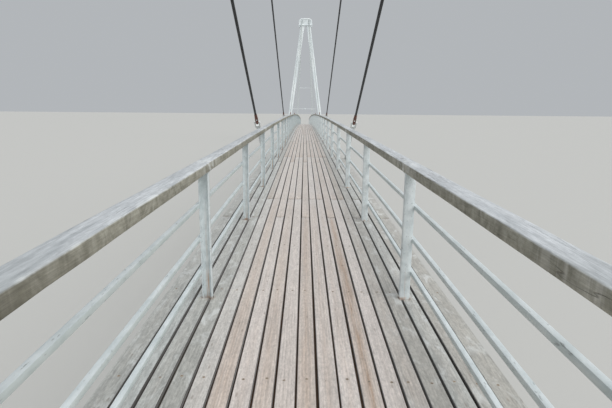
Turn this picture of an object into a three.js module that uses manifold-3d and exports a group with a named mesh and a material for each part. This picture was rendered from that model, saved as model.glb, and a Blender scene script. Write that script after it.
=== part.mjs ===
// Cable-stayed footbridge, scale model at 1:10.
//
// A cambered timber walkway 110 m long hangs between two A-shaped pylons. Four stays on each side
// run from a pylon's head down to the ends of the deck's cross beams, and two backstays tie each
// head to a concrete block on the bank. X runs across the walkway, Y along it and Z up. The origin
// is on the ground, half way between the pylons. "Near" is the end at -Y, "left" is at -X.

import * as THREE from 'three';
import { mergeVertices } from 'three/addons/utils/BufferGeometryUtils.js';
import Module from 'manifold-3d';

const wasm = await Module();
wasm.setup();

// Millimetres in the model for one metre of the real bridge.
const METRE = 100;
// Clearance between two pieces that bear on each other.
const GAP = 0.3;

// Walkway. Heights marked "above deck" are measured from the boards' upper face.
const HALF_SPAN = 55 * METRE;
const DECK_OVERRUN = 0.1 * METRE;
const HALF_DECK = HALF_SPAN + DECK_OVERRUN;
const DECK_END_Z = 3 * METRE;
const CAMBER = 1.1 * METRE;
const CHORD = 5 * METRE;
const BAY = 2.5 * METRE;
const DECK_WIDTH = 2.308 * METRE;
const BOARD_THICKNESS = 0.05 * METRE;
const PANEL_JOINTS = [-25 * METRE, 0, 25 * METRE];

// Steel frame under the boards.
const GIRDER_X = 0.795 * METRE;
const GIRDER_WIDTH = 0.14 * METRE;
const GIRDER_DEPTH = 0.3 * METRE;
const BEAM_LENGTH = 2.2 * METRE;
const ANCHOR_BEAM_LENGTH = 2.56 * METRE;
const BEAM_WIDTH = 0.12 * METRE;
const BEAM_DEPTH = 0.2 * METRE;
const FRAME_JOINTS = [-16.25 * METRE, 16.25 * METRE];

// Railings: channel posts, three square rails and a timber handrail.
const POST_X = GIRDER_X;
const POST_WIDTH = 0.08 * METRE;
const POST_DEPTH = 0.045 * METRE;
const POST_WEB = 0.006 * METRE;
const POST_FLANGE = 0.008 * METRE;
const POST_CLEARANCE = 0.4;
const RAIL_SIZE = 0.032 * METRE;
const RAIL_HEIGHTS = [0.221 * METRE, 0.488 * METRE, 0.755 * METRE];
const RAIL_WELD = 0.003 * METRE;
const RAIL_X = POST_X + (POST_WIDTH + RAIL_SIZE) / 2 - RAIL_WELD;
const HANDRAIL_TOP = 1.1 * METRE;
const HANDRAIL_WIDTH = 0.118 * METRE;
const HANDRAIL_DEPTH = 0.072 * METRE;
const HANDRAIL_CHAMFER = 0.012 * METRE;

// Pylons. Heights are measured from the level of the deck's ends.
const HEAD_BOTTOM = 17.58 * METRE;
const HEAD_TOP = 18.79 * METRE;
const HEAD_WIDTH = 2.36 * METRE;
const HEAD_DEPTH = 1 * METRE;
const HEAD_CORNER = 0.62 * METRE;
const CHEEK_DROP = 0.25 * METRE;
const CHEEK_THICKNESS = 0.16 * METRE;
const COLLAR_HEIGHT = 0.15 * METRE;
const COLLAR_REACH = 0.03 * METRE;
const RECESS_BORDER = 0.16 * METRE;
const RECESS_DEPTH = 0.05 * METRE;
const POCKET_WIDTH = 0.3 * METRE;
const POCKET_DEPTH = 0.05 * METRE;
const POCKET_BOTTOM = 17.84 * METRE;
const POCKET_TOP = 18.5 * METRE;
const LEG_X = 3.03 * METRE;
const LEG_LEAN = 0.1424;
const LEG_WIDTH_AT_DECK = 0.6 * METRE;
const LEG_WIDENING = 0.0082;
const LEG_DEPTH = 0.8 * METRE;
const LEG_CHAMFER = 0.04 * METRE;
const TIE_HEIGHT = 3 * METRE;
const TIE_RADIUS = 0.03 * METRE;
const TIE_KNOB_RADIUS = 0.13 * METRE;
const FOOTING_WIDTH = 1.2 * METRE;
const FOOTING_LENGTH = 1.5 * METRE;
const FOOTING_HEIGHT = 0.6 * METRE;

// Stays. Each is listed by the distance of its cross beam from its own pylon and by its height on
// the pylon's head. The lower end is an anchor tube that ends in a fork at the handrail's height.
const STAYS = [
  { reach: 7.5 * METRE, height: 18.15 * METRE },
  { reach: 22.5 * METRE, height: 18.25 * METRE },
  { reach: 37.5 * METRE, height: 18.345 * METRE },
  { reach: 52.5 * METRE, height: 18.44 * METRE },
];
const STAY_HEAD_X = 0.62 * METRE;
const STAY_DECK_X = 1.204 * METRE;
const STAY_RADIUS = 0.025 * METRE;
const FORK_HEIGHT = 1.09 * METRE;
const TUBE_RADIUS = 0.045 * METRE;
const FORK_WIDTH = 0.13 * METRE;
const FORK_GAP = 0.081 * METRE;
const FORK_THICKNESS = 0.05 * METRE;
const FORK_LENGTH = 0.3 * METRE;
const FORK_CROWN = 0.08 * METRE;
const PIN_SIZE = 0.024 * METRE;
const PIN_SETBACK = 0.05 * METRE;
const TURNBUCKLE_RADIUS = 0.036 * METRE;
const TURNBUCKLE_SETBACK = 0.1 * METRE;
const TURNBUCKLE_LENGTH = 0.35 * METRE;
const SOCKET_RADIUS = 0.04 * METRE;
const SOCKET_LENGTH = 0.2 * METRE;
const SOCKET_TAPER = 0.04 * METRE;

// Backstays, which are steel tubes with drawn-in ends, and what holds them on the bank.
const BACKSTAY_HEIGHT = 18.14 * METRE;
const BACKSTAY_RADIUS = 0.06 * METRE;
const BACKSTAY_END_RADIUS = 0.04 * METRE;
const BACKSTAY_END_LENGTH = 0.25 * METRE;
const BACKSTAY_TAPER = 0.25 * METRE;
const ANCHOR_DISTANCE = 25 * METRE;
const ANCHOR_X = 1.93 * METRE;
const ANCHOR_BLOCK = { width: 4.8 * METRE, length: 2.4 * METRE, height: 1.2 * METRE };

// Abutments under the deck's ends.
const ABUTMENT_WIDTH = 3 * METRE;
const ABUTMENT_FRONT = 0.45 * METRE;
const ABUTMENT_BACK = 2 * METRE;

const FINISHES = {
  deckTimber: { color: 0xb5a08a, roughness: 0.85, metalness: 0 },
  handrailTimber: { color: 0x8e8982, roughness: 0.8, metalness: 0 },
  railingSteel: { color: 0xaab4ba, roughness: 0.55, metalness: 0.6 },
  frameSteel: { color: 0xb9bfc1, roughness: 0.5, metalness: 0.5 },
  pylonPaint: { color: 0xd3dce1, roughness: 0.4, metalness: 0.1 },
  stayCable: { color: 0x55585a, roughness: 0.45, metalness: 0.8 },
  concrete: { color: 0xa5a29a, roughness: 0.95, metalness: 0 },
};

const materials = Object.fromEntries(
  Object.entries(FINISHES).map(([name, look]) => [name, new THREE.MeshStandardMaterial(look)]),
);

const bridge = new THREE.Group();

/** Adds one named piece to the bridge. */
function addPiece(name, geometry, material) {
  const mesh = new THREE.Mesh(geometry, material);
  mesh.name = name;
  bridge.add(mesh);
}

// Closed meshes, joins and cuts.

/** A copy with shared vertices merged and collapsed triangles dropped. */
function welded(geometry) {
  const bare = geometry.clone();
  bare.deleteAttribute('normal');
  bare.deleteAttribute('uv');
  const merged = mergeVertices(bare, 1e-4);
  const index = merged.getIndex().array;
  const kept = [];
  for (let i = 0; i < index.length; i += 3) {
    const [a, b, c] = [index[i], index[i + 1], index[i + 2]];
    if (a !== b && b !== c && c !== a) {
      kept.push(a, b, c);
    }
  }
  merged.setIndex(kept);
  return merged;
}

/** A solid for joining and cutting. */
function solid(geometry) {
  const mesh = welded(geometry);
  return new wasm.Manifold(new wasm.Mesh({
    numProp: 3,
    vertProperties: new Float32Array(mesh.getAttribute('position').array),
    triVerts: new Uint32Array(mesh.getIndex().array),
  }));
}

/** The geometry of a solid. */
function geometryOf(body) {
  const mesh = body.getMesh();
  const geometry = new THREE.BufferGeometry();
  geometry.setAttribute('position', new THREE.BufferAttribute(mesh.vertProperties, 3));
  geometry.setIndex(new THREE.BufferAttribute(mesh.triVerts, 1));
  return geometry;
}

/** One geometry from pieces that run into each other. */
function joined(geometries) {
  return geometryOf(geometries.map(solid).reduce((whole, next) => whole.add(next)));
}

/** A box between two corners. */
function box([x0, y0, z0], [x1, y1, z1]) {
  return new THREE.BoxGeometry(x1 - x0, y1 - y0, z1 - z0)
    .translate((x0 + x1) / 2, (y0 + y1) / 2, (z0 + z1) / 2);
}

// The line of the deck.

/** Height of the parabola that the walkway follows. */
function camberLine(y) {
  return DECK_END_Z + CAMBER * (1 - (y / HALF_SPAN) ** 2);
}

/** Height of the boards' upper face, on straight chords between points of the parabola. */
function deckTop(y) {
  const last = HALF_SPAN - CHORD;
  const start = Math.min(last, Math.max(-HALF_SPAN, Math.floor(y / CHORD) * CHORD));
  const share = (y - start) / CHORD;
  return camberLine(start) * (1 - share) + camberLine(start + CHORD) * share;
}

/** Places where a piece from one end to the other bends with the deck. */
function bends(from, to) {
  const places = [from];
  for (let y = -HALF_SPAN + CHORD; y < HALF_SPAN; y += CHORD) {
    if (y > from && y < to) {
      places.push(y);
    }
  }
  places.push(to);
  return places;
}

/**
 * A bar that follows the deck. The section is convex and listed anticlockwise as seen from the
 * near end, with each point's x and its height above the deck.
 */
function deckBar(section, from, to) {
  const places = bends(from, to);
  const count = section.length;
  const positions = places.flatMap((y) => section.flatMap(([x, z]) => [x, y, deckTop(y) + z]));
  const index = [];
  for (let ring = 0; ring + 1 < places.length; ring++) {
    for (let i = 0; i < count; i++) {
      const a = ring * count + i;
      const b = ring * count + (i + 1) % count;
      index.push(a, a + count, b + count, a, b + count, b);
    }
  }
  const end = (places.length - 1) * count;
  for (let i = 1; i + 1 < count; i++) {
    index.push(0, i, i + 1, end, end + i + 1, end + i);
  }
  const geometry = new THREE.BufferGeometry();
  geometry.setAttribute('position', new THREE.Float32BufferAttribute(positions, 3));
  geometry.setIndex(index);
  return geometry;
}

/** A rectangular section between two x and two heights above the deck. */
function rectangle(x0, x1, z0, z1) {
  return [[x0, z0], [x1, z0], [x1, z1], [x0, z1]];
}

/** Stretches between one end, the joints and the other end, with a gap at each joint. */
function stretches(from, joints, to) {
  const ends = [from, ...joints, to];
  return ends.slice(1).map((end, i) => [
    ends[i] + (i > 0 ? GAP / 2 : 0),
    end - (i < joints.length ? GAP / 2 : 0),
  ]);
}

/** Places of the posts from one place to another. */
function postPlaces(from, to) {
  const places = [];
  for (let y = -HALF_SPAN; y <= HALF_SPAN; y += BAY) {
    if (y >= from && y <= to) {
      places.push(y);
    }
  }
  return places;
}

// Walkway.

const FRAME_TOP = -BOARD_THICKNESS - GAP;
const SIDES = [['left', -1], ['right', 1]];
const ENDS = [['near', -1], ['far', 1]];

/** The hole through the deck that a post passes down. */
function postHole(side, y) {
  const halfWidth = POST_WIDTH / 2 + GAP;
  const halfDepth = POST_DEPTH / 2 + GAP;
  const x = side * POST_X;
  return box(
    [x - halfWidth, y - halfDepth, deckTop(y) - 2 * BOARD_THICKNESS],
    [x + halfWidth, y + halfDepth, deckTop(y) + BOARD_THICKNESS],
  );
}

function addDeckPanels() {
  const section = rectangle(-DECK_WIDTH / 2, DECK_WIDTH / 2, -BOARD_THICKNESS, 0);
  stretches(-HALF_DECK, PANEL_JOINTS, HALF_DECK).forEach(([from, to], i) => {
    let panel = solid(deckBar(section, from, to));
    for (const y of postPlaces(from - POST_DEPTH, to + POST_DEPTH)) {
      for (const [, side] of SIDES) {
        panel = panel.subtract(solid(postHole(side, y)));
      }
    }
    addPiece(`deck_panel_${i + 1}`, geometryOf(panel), materials.deckTimber);
  });
}

/** Places of the cross beams that carry stays. */
function anchorPlaces() {
  return ENDS.flatMap(([, end]) => STAYS.map(({ reach }) => end * (HALF_SPAN - reach)));
}

/** Places and lengths of all the cross beams. */
function crossBeams() {
  const anchors = anchorPlaces();
  const beams = anchors.map((y) => ({ y, length: ANCHOR_BEAM_LENGTH }));
  for (let y = -HALF_SPAN; y <= HALF_SPAN; y += CHORD) {
    if (!anchors.includes(y)) {
      beams.push({ y, length: BEAM_LENGTH });
    }
  }
  return beams;
}

function addDeckFrames() {
  const beams = crossBeams();
  const names = ['near', 'middle', 'far'];
  stretches(-HALF_DECK, FRAME_JOINTS, HALF_DECK).forEach(([from, to], i) => {
    const bars = SIDES.map(([, side]) => {
      const x = side * GIRDER_X;
      const low = FRAME_TOP - GIRDER_DEPTH;
      return deckBar(rectangle(x - GIRDER_WIDTH / 2, x + GIRDER_WIDTH / 2, low, FRAME_TOP), from, to);
    });
    for (const { y, length } of beams.filter((beam) => beam.y > from && beam.y < to)) {
      const section = rectangle(-length / 2, length / 2, FRAME_TOP - BEAM_DEPTH, FRAME_TOP);
      bars.push(deckBar(section, y - BEAM_WIDTH / 2, y + BEAM_WIDTH / 2));
    }
    addPiece(`deck_frame_${names[i]}`, joined(bars), materials.frameSteel);
  });
}

// Railings.

/**
 * One channel post, standing on a girder and reaching through the deck up to the handrail. The left
 * posts are open towards the near end, the right ones away from it.
 */
function post(side, y) {
  const outer = POST_WIDTH / 2;
  const inner = outer - POST_FLANGE;
  const back = POST_DEPTH / 2;
  const web = back - POST_WEB;
  const shape = new THREE.Shape();
  shape.moveTo(-outer, -back);
  shape.lineTo(-inner, -back);
  shape.lineTo(-inner, web);
  shape.lineTo(inner, web);
  shape.lineTo(inner, -back);
  shape.lineTo(outer, -back);
  shape.lineTo(outer, back);
  shape.lineTo(-outer, back);
  const bottom = FRAME_TOP + POST_CLEARANCE;
  const height = HANDRAIL_TOP - HANDRAIL_DEPTH - POST_CLEARANCE - bottom;
  return new THREE.ExtrudeGeometry(shape, { depth: height, bevelEnabled: false })
    .rotateZ(side > 0 ? Math.PI : 0)
    .translate(side * POST_X, y, deckTop(y) + bottom);
}

/** The railing of half the bridge: its posts, and three rails welded to their outer flanges. */
function railing(side, firstPost, lastPost, railEnd) {
  const pieces = postPlaces(firstPost, lastPost).map((y) => post(side, y));
  for (const height of RAIL_HEIGHTS) {
    const x = side * RAIL_X;
    const half = RAIL_SIZE / 2;
    const section = rectangle(x - half, x + half, height - half, height + half);
    pieces.push(deckBar(section, firstPost - POST_DEPTH / 2, railEnd));
  }
  return joined(pieces);
}

function addRailings() {
  for (const [sideName, side] of SIDES) {
    const near = railing(side, -HALF_SPAN, -BAY, -POST_DEPTH / 2 - GAP);
    const far = railing(side, 0, HALF_SPAN, HALF_SPAN + POST_DEPTH / 2);
    addPiece(`railing_${sideName}_near`, near, materials.railingSteel);
    addPiece(`railing_${sideName}_far`, far, materials.railingSteel);
  }
}

/** Section of the handrail, with its four long edges taken off. */
function handrailSection(side) {
  const x0 = side * POST_X - HANDRAIL_WIDTH / 2;
  const x1 = x0 + HANDRAIL_WIDTH;
  const z0 = HANDRAIL_TOP - HANDRAIL_DEPTH;
  const z1 = HANDRAIL_TOP;
  const c = HANDRAIL_CHAMFER;
  return [
    [x0 + c, z0], [x1 - c, z0], [x1, z0 + c], [x1, z1 - c],
    [x1 - c, z1], [x0 + c, z1], [x0, z1 - c], [x0, z0 + c],
  ];
}

function addHandrails() {
  for (const [sideName, side] of SIDES) {
    stretches(-HALF_DECK, [0], HALF_DECK).forEach(([from, to], i) => {
      const geometry = deckBar(handrailSection(side), from, to);
      addPiece(`handrail_${sideName}_${ENDS[i][0]}`, geometry, materials.handrailTimber);
    });
  }
}

// Pylons.

/** Distance of a leg's centre line from the middle of the bridge. */
function legCentre(heightAboveDeckEnd) {
  return LEG_X - LEG_LEAN * heightAboveDeckEnd;
}

/** Width of a leg, which grows towards the head. */
function legWidth(heightAboveDeckEnd) {
  return LEG_WIDTH_AT_DECK + LEG_WIDENING * heightAboveDeckEnd;
}

/** Turns a shape drawn in x and height into a plate with its middle at one place along the bridge. */
function plate(shape, depth, chamfer, middleY) {
  const options = { depth: depth - 2 * chamfer, bevelEnabled: false, curveSegments: 5 };
  if (chamfer > 0) {
    Object.assign(options, {
      bevelEnabled: true, bevelSegments: 1, bevelThickness: chamfer, bevelSize: chamfer,
      bevelOffset: -chamfer,
    });
  }
  return new THREE.ExtrudeGeometry(shape, options)
    .translate(0, 0, chamfer - depth / 2)
    .rotateX(Math.PI / 2)
    .translate(0, middleY, 0);
}

function pylonLeg(side, middleY) {
  const bottom = FOOTING_HEIGHT + GAP;
  const top = DECK_END_Z + HEAD_BOTTOM - GAP;
  const corners = [[bottom, -1], [bottom, 1], [top, 1], [top, -1]].map(([z, edge]) => {
    const height = z - DECK_END_Z;
    return new THREE.Vector2(side * legCentre(height) + edge * legWidth(height) / 2, z);
  });
  return plate(new THREE.Shape(corners), LEG_DEPTH, LEG_CHAMFER, middleY);
}

/** The head's outline from a flat bottom to round upper corners, drawn in by some border. */
function headOutline(border, bottom) {
  const half = HEAD_WIDTH / 2 - border;
  const top = DECK_END_Z + HEAD_TOP - border;
  const corner = HEAD_CORNER - border;
  const shape = new THREE.Shape();
  shape.moveTo(-half, bottom);
  shape.lineTo(half, bottom);
  shape.absarc(half - corner, top - corner, corner, 0, Math.PI / 2, false);
  shape.absarc(-half + corner, top - corner, corner, Math.PI / 2, Math.PI, false);
  return shape;
}

/**
 * The head that sits on the legs, with cheeks outside them, a collar, and on each face a sunk panel
 * and two pockets for the stays.
 */
function pylonHead(middleY) {
  const bottom = DECK_END_Z + HEAD_BOTTOM;
  let head = solid(plate(headOutline(0, bottom - CHEEK_DROP), HEAD_DEPTH, 0, middleY));
  const throat = HEAD_WIDTH / 2 - CHEEK_THICKNESS;
  head = head.subtract(solid(box(
    [-throat, middleY - HEAD_DEPTH, bottom - 2 * CHEEK_DROP],
    [throat, middleY + HEAD_DEPTH, bottom],
  )));
  const collarX = HEAD_WIDTH / 2 + COLLAR_REACH;
  const collarY = HEAD_DEPTH / 2 + COLLAR_REACH;
  head = head.add(solid(box(
    [-collarX, middleY - collarY, bottom],
    [collarX, middleY + collarY, bottom + COLLAR_HEIGHT],
  )));
  for (const face of [-1, 1]) {
    const surface = middleY + face * HEAD_DEPTH / 2;
    const sunkBottom = bottom + COLLAR_HEIGHT;
    head = head.subtract(solid(plate(
      headOutline(RECESS_BORDER, sunkBottom), 2 * RECESS_DEPTH, 0, surface,
    )));
    const floor = surface - face * (RECESS_DEPTH + POCKET_DEPTH);
    for (const [, side] of SIDES) {
      const x = side * STAY_HEAD_X;
      head = head.subtract(solid(box(
        [x - POCKET_WIDTH / 2, Math.min(floor, surface), DECK_END_Z + POCKET_BOTTOM],
        [x + POCKET_WIDTH / 2, Math.max(floor, surface), DECK_END_Z + POCKET_TOP],
      )));
    }
  }
  return geometryOf(head);
}

/** The thin bar between a pylon's legs over the walkway, with a round knob in the middle. */
function portalTie(middleY) {
  const reachHeight = TIE_HEIGHT + TIE_RADIUS;
  const half = legCentre(reachHeight) - legWidth(reachHeight) / 2 - GAP;
  const bar = roundBar([[TIE_RADIUS, -half], [TIE_RADIUS, half]], 8).rotateZ(Math.PI / 2);
  const knob = new THREE.SphereGeometry(TIE_KNOB_RADIUS, 10, 6);
  return joined([bar, knob]).translate(0, middleY, DECK_END_Z + TIE_HEIGHT);
}

function addPylons() {
  for (const [endName, end] of ENDS) {
    const y = end * HALF_SPAN;
    for (const [sideName, side] of SIDES) {
      const x = side * legCentre(FOOTING_HEIGHT - DECK_END_Z);
      addPiece(`pylon_leg_${endName}_${sideName}`, pylonLeg(side, y), materials.pylonPaint);
      addPiece(`footing_${endName}_${sideName}`, box(
        [x - FOOTING_WIDTH / 2, y - FOOTING_LENGTH / 2, 0],
        [x + FOOTING_WIDTH / 2, y + FOOTING_LENGTH / 2, FOOTING_HEIGHT],
      ), materials.concrete);
    }
    addPiece(`pylon_head_${endName}`, pylonHead(y), materials.pylonPaint);
    addPiece(`portal_tie_${endName}`, portalTie(y), materials.pylonPaint);
  }
}

// Stays. A stay is made along +Y from its lower end and then laid on its line.

/** A round bar along +Y: pairs of radius and place, from one end to the other. */
function roundBar(profile, sides) {
  const first = new THREE.Vector2(0, profile[0][1]);
  const last = new THREE.Vector2(0, profile[profile.length - 1][1]);
  const points = [first, ...profile.map(([radius, y]) => new THREE.Vector2(radius, y)), last];
  return new THREE.LatheGeometry(points, sides);
}

/** A stay of some length with its anchor tube, fork, turnbuckle, cable and upper socket. */
function stayAlongY(length, forkTip) {
  const crown = forkTip - FORK_LENGTH;
  const tube = roundBar([[TUBE_RADIUS, 0], [TUBE_RADIUS, crown + FORK_CROWN / 2]], 8);
  const outer = FORK_WIDTH / 2;
  const inner = FORK_GAP / 2;
  const fork = new THREE.ExtrudeGeometry(new THREE.Shape([
    new THREE.Vector2(-outer, crown),
    new THREE.Vector2(outer, crown),
    new THREE.Vector2(outer, forkTip),
    new THREE.Vector2(inner, forkTip),
    new THREE.Vector2(inner, crown + FORK_CROWN),
    new THREE.Vector2(-inner, crown + FORK_CROWN),
    new THREE.Vector2(-inner, forkTip),
    new THREE.Vector2(-outer, forkTip),
  ]), { depth: FORK_THICKNESS, bevelEnabled: false }).translate(0, 0, -FORK_THICKNESS / 2);
  const pinY = forkTip - PIN_SETBACK;
  const pinReach = (inner + outer) / 2;
  const pin = box(
    [-pinReach, pinY - PIN_SIZE / 2, -PIN_SIZE / 2],
    [pinReach, pinY + PIN_SIZE / 2, PIN_SIZE / 2],
  );
  const start = forkTip - TURNBUCKLE_SETBACK;
  const cable = roundBar([
    [TURNBUCKLE_RADIUS, start],
    [TURNBUCKLE_RADIUS, start + TURNBUCKLE_LENGTH],
    [STAY_RADIUS, start + TURNBUCKLE_LENGTH + SOCKET_TAPER],
    [STAY_RADIUS, length - SOCKET_LENGTH - SOCKET_TAPER],
    [SOCKET_RADIUS, length - SOCKET_LENGTH],
    [SOCKET_RADIUS, length],
  ], 6);
  return joined([tube, fork, pin, cable]);
}

/** A backstay of some length. */
function backstayAlongY(length) {
  const drawn = BACKSTAY_END_LENGTH + BACKSTAY_TAPER;
  return roundBar([
    [BACKSTAY_END_RADIUS, 0],
    [BACKSTAY_END_RADIUS, BACKSTAY_END_LENGTH],
    [BACKSTAY_RADIUS, drawn],
    [BACKSTAY_RADIUS, length - drawn],
    [BACKSTAY_END_RADIUS, length - BACKSTAY_END_LENGTH],
    [BACKSTAY_END_RADIUS, length],
  ], 10);
}

/** Lays a piece made along +Y on a line, with its own X kept level. */
function layOn(geometry, start, direction) {
  const level = new THREE.Vector3(-direction.y, direction.x, 0).normalize().negate();
  const third = new THREE.Vector3().crossVectors(level, direction);
  const turn = new THREE.Matrix4().makeBasis(level, direction, third).setPosition(start);
  return geometry.applyMatrix4(turn);
}

/** How far along a line its flat round end stays back from a plane with this normal. */
function setback(radius, direction, normal) {
  const along = Math.abs(direction.dot(normal));
  return (GAP + radius * Math.sqrt(1 - along * along)) / along;
}

/**
 * Lays a bar between a point on a level face below and a point on a pocket's upright floor above.
 * The make function gets the bar's length and how far up its line it starts.
 */
function between(foot, top, footRadius, topRadius, make) {
  const direction = top.clone().sub(foot).normalize();
  const low = setback(footRadius, direction, new THREE.Vector3(0, 0, 1));
  const high = setback(topRadius, direction, new THREE.Vector3(0, 1, 0));
  const length = foot.distanceTo(top) - low - high;
  const start = foot.clone().addScaledVector(direction, low);
  return layOn(make(length, low, direction), start, direction);
}

/** A stay from its cross beam to the head, with its fork's tips at the handrail's height. */
function stay(foot, top) {
  return between(foot, top, TUBE_RADIUS, SOCKET_RADIUS, (length, low, direction) => {
    const forkTip = (FORK_HEIGHT - FRAME_TOP) / direction.z - low;
    return stayAlongY(length, forkTip);
  });
}

/** Where a stay or backstay meets a pocket's floor, on the head's face towards its foot. */
function pocketPoint(side, end, face, height) {
  const floor = HEAD_DEPTH / 2 - RECESS_DEPTH - POCKET_DEPTH;
  return new THREE.Vector3(
    side * STAY_HEAD_X, end * HALF_SPAN + face * floor, DECK_END_Z + height,
  );
}

function addStays() {
  for (const [endName, end] of ENDS) {
    for (const [sideName, side] of SIDES) {
      STAYS.forEach(({ reach, height }, i) => {
        const y = end * (HALF_SPAN - reach);
        const foot = new THREE.Vector3(side * STAY_DECK_X, y, deckTop(y) + FRAME_TOP);
        const geometry = stay(foot, pocketPoint(side, end, -end, height));
        addPiece(`stay_${endName}_${sideName}_${i + 1}`, geometry, materials.stayCable);
      });
      const anchorY = end * (HALF_SPAN + ANCHOR_DISTANCE);
      const foot = new THREE.Vector3(side * ANCHOR_X, anchorY, ANCHOR_BLOCK.height);
      const top = pocketPoint(side, end, end, BACKSTAY_HEIGHT);
      const ends = BACKSTAY_END_RADIUS;
      const geometry = between(foot, top, ends, ends, backstayAlongY);
      addPiece(`backstay_${endName}_${sideName}`, geometry, materials.pylonPaint);
    }
  }
}

// Concrete on the banks.

/** An abutment drawn from the side: a ledge under the girders and a wall behind the deck's end. */
function abutment(end) {
  const seat = deckTop(HALF_DECK) + FRAME_TOP - GIRDER_DEPTH - GAP;
  const wall = HALF_DECK + GAP;
  const shape = new THREE.Shape();
  shape.moveTo(HALF_SPAN - ABUTMENT_FRONT, 0);
  shape.lineTo(HALF_SPAN + ABUTMENT_BACK, 0);
  shape.lineTo(HALF_SPAN + ABUTMENT_BACK, DECK_END_Z);
  shape.lineTo(wall, DECK_END_Z);
  shape.lineTo(wall, seat);
  shape.lineTo(HALF_SPAN - ABUTMENT_FRONT, seat);
  return new THREE.ExtrudeGeometry(shape, { depth: ABUTMENT_WIDTH, bevelEnabled: false })
    .translate(0, 0, -ABUTMENT_WIDTH / 2)
    .rotateX(Math.PI / 2)
    .rotateZ(end * Math.PI / 2);
}

function addConcrete() {
  const { width, length, height } = ANCHOR_BLOCK;
  for (const [endName, end] of ENDS) {
    addPiece(`abutment_${endName}`, abutment(end), materials.concrete);
    const y = end * (HALF_SPAN + ANCHOR_DISTANCE);
    const block = box([-width / 2, y - length / 2, 0], [width / 2, y + length / 2, height]);
    addPiece(`anchor_block_${endName}`, block, materials.concrete);
  }
}

addDeckPanels();
addDeckFrames();
addRailings();
addHandrails();
addPylons();
addStays();
addConcrete();

export default bridge;
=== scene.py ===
"""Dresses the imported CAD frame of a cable-stayed footbridge, a scale model at 1:10.

Sizes and places are the real bridge's, in metres, and Piece scales them down when it makes a mesh.
X runs across the walkway, Y along it and Z up. The origin is on the ground, half way between the
pylons. "Near" is the end at -Y and "left" is at -X. Heights called "above deck" are measured from
the boards' upper face, and those called "above the ends" from the level of the deck's ends.
"""

import logging
import math
from dataclasses import dataclass, field
from enum import Enum

import bpy
import numpy as np
from mathutils import Matrix, Vector


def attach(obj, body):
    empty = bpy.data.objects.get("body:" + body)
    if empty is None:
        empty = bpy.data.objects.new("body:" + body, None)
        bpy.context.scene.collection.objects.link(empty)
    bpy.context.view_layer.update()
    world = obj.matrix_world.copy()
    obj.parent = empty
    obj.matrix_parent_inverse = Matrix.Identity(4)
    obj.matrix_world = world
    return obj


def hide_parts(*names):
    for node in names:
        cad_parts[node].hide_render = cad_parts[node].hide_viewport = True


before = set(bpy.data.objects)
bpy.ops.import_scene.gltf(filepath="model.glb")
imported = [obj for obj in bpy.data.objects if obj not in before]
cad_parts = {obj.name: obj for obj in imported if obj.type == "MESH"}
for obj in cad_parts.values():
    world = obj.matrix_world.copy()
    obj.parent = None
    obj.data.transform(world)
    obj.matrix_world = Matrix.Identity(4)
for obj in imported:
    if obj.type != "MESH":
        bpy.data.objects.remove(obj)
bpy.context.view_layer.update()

LOG = logging.getLogger("footbridge")

SCALE = 0.1
BODY = "root"
PHOTO_WIDTH = 612
SENSOR_WIDTH = 36.0
SIGNS = (-1, 1)
TINY = 1e-6
GAP = 0.003
POST_X = 0.795
POST_BAY = 2.5
CHORD = 5.0
WHITE = (1.0, 1.0, 1.0, 1.0)

Section = np.ndarray
Span = tuple[float, float]
Point = tuple[float, float, float]
Colour = tuple[float, float, float, float]


class Sign(Enum):
    """A choice whose value is its sign on an axis."""

    @property
    def label(self) -> str:
        """Its word in a node's name."""
        return self.name.lower()


class Side(Sign):
    """The walkway's two sides."""

    LEFT = -1
    RIGHT = 1


class End(Sign):
    """The bridge's two ends."""

    NEAR = -1
    FAR = 1


class Slot(Enum):
    """Names of the material slots."""

    DECK_TIMBER = "deck_timber"
    HANDRAIL_TIMBER = "handrail_timber"
    RAILING_STEEL = "railing_steel"
    FRAME_STEEL = "frame_steel"
    PYLON_PAINT = "pylon_paint"
    STAY_CABLE = "stay_cable"
    CONCRETE = "concrete"


class Along(Enum):
    """One of the three axes."""

    X = 0
    Y = 1
    Z = 2


CORNERS = [(end, side) for end in End for side in Side]


# Shapes.


@dataclass
class Form:
    """A closed shape, with its points in metres and its faces as rows of point numbers."""

    points: np.ndarray
    faces: list[tuple[int, ...]]

    def moved(self, x: float, y: float, z: float) -> "Form":
        """A copy shifted by x, y and z."""
        return Form(self.points + np.array([x, y, z]), self.faces)

    def laid(self, axes: np.ndarray, start: np.ndarray) -> "Form":
        """A copy with its X, Y and Z turned onto the rows of axes, and its origin at start."""
        return Form(self.points @ axes + start, self.faces)


UPRIGHT = np.array([[1, 0, 0], [0, 0, 1], [0, -1, 0]], float)
ORIGIN = np.zeros(3)


def facing(along: Along, sign: int) -> np.ndarray:
    """Axes that turn a form's +Z to one side.

    Args:
        along: The axis that +Z turns to, X or Y.
        sign: Which way along it.

    Returns:
        The axes, one in each row.
    """
    if along is Along.X:
        return np.array([[0, 1, 0], [0, 0, sign], [sign, 0, 0]], float)
    return np.array([[1, 0, 0], [0, 0, -sign], [0, sign, 0]], float)


def loft(rings: list[np.ndarray]) -> Form:
    """Skins a row of closed rings and closes both ends.

    Args:
        rings: The rings, each with the same number of points.

    Returns:
        The form, with its faces looking outwards.
    """
    stack = np.array(rings, float)
    first = stack[0] - stack[0].mean(axis=0)
    area = np.cross(first, np.roll(first, -1, axis=0)).sum(axis=0)
    if np.dot(area, stack[-1].mean(axis=0) - stack[0].mean(axis=0)) > 0:
        stack = stack[:, ::-1]
    rows, count = stack.shape[:2]
    faces: list[tuple[int, ...]] = []
    for row in range(rows - 1):
        for i in range(count):
            a = row * count + i
            b = row * count + (i + 1) % count
            faces.append((a, a + count, b + count, b))
    faces.append(tuple(range(count)))
    faces.append(tuple(reversed(range((rows - 1) * count, rows * count))))
    return Form(stack.reshape(-1, 3), faces)


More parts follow.
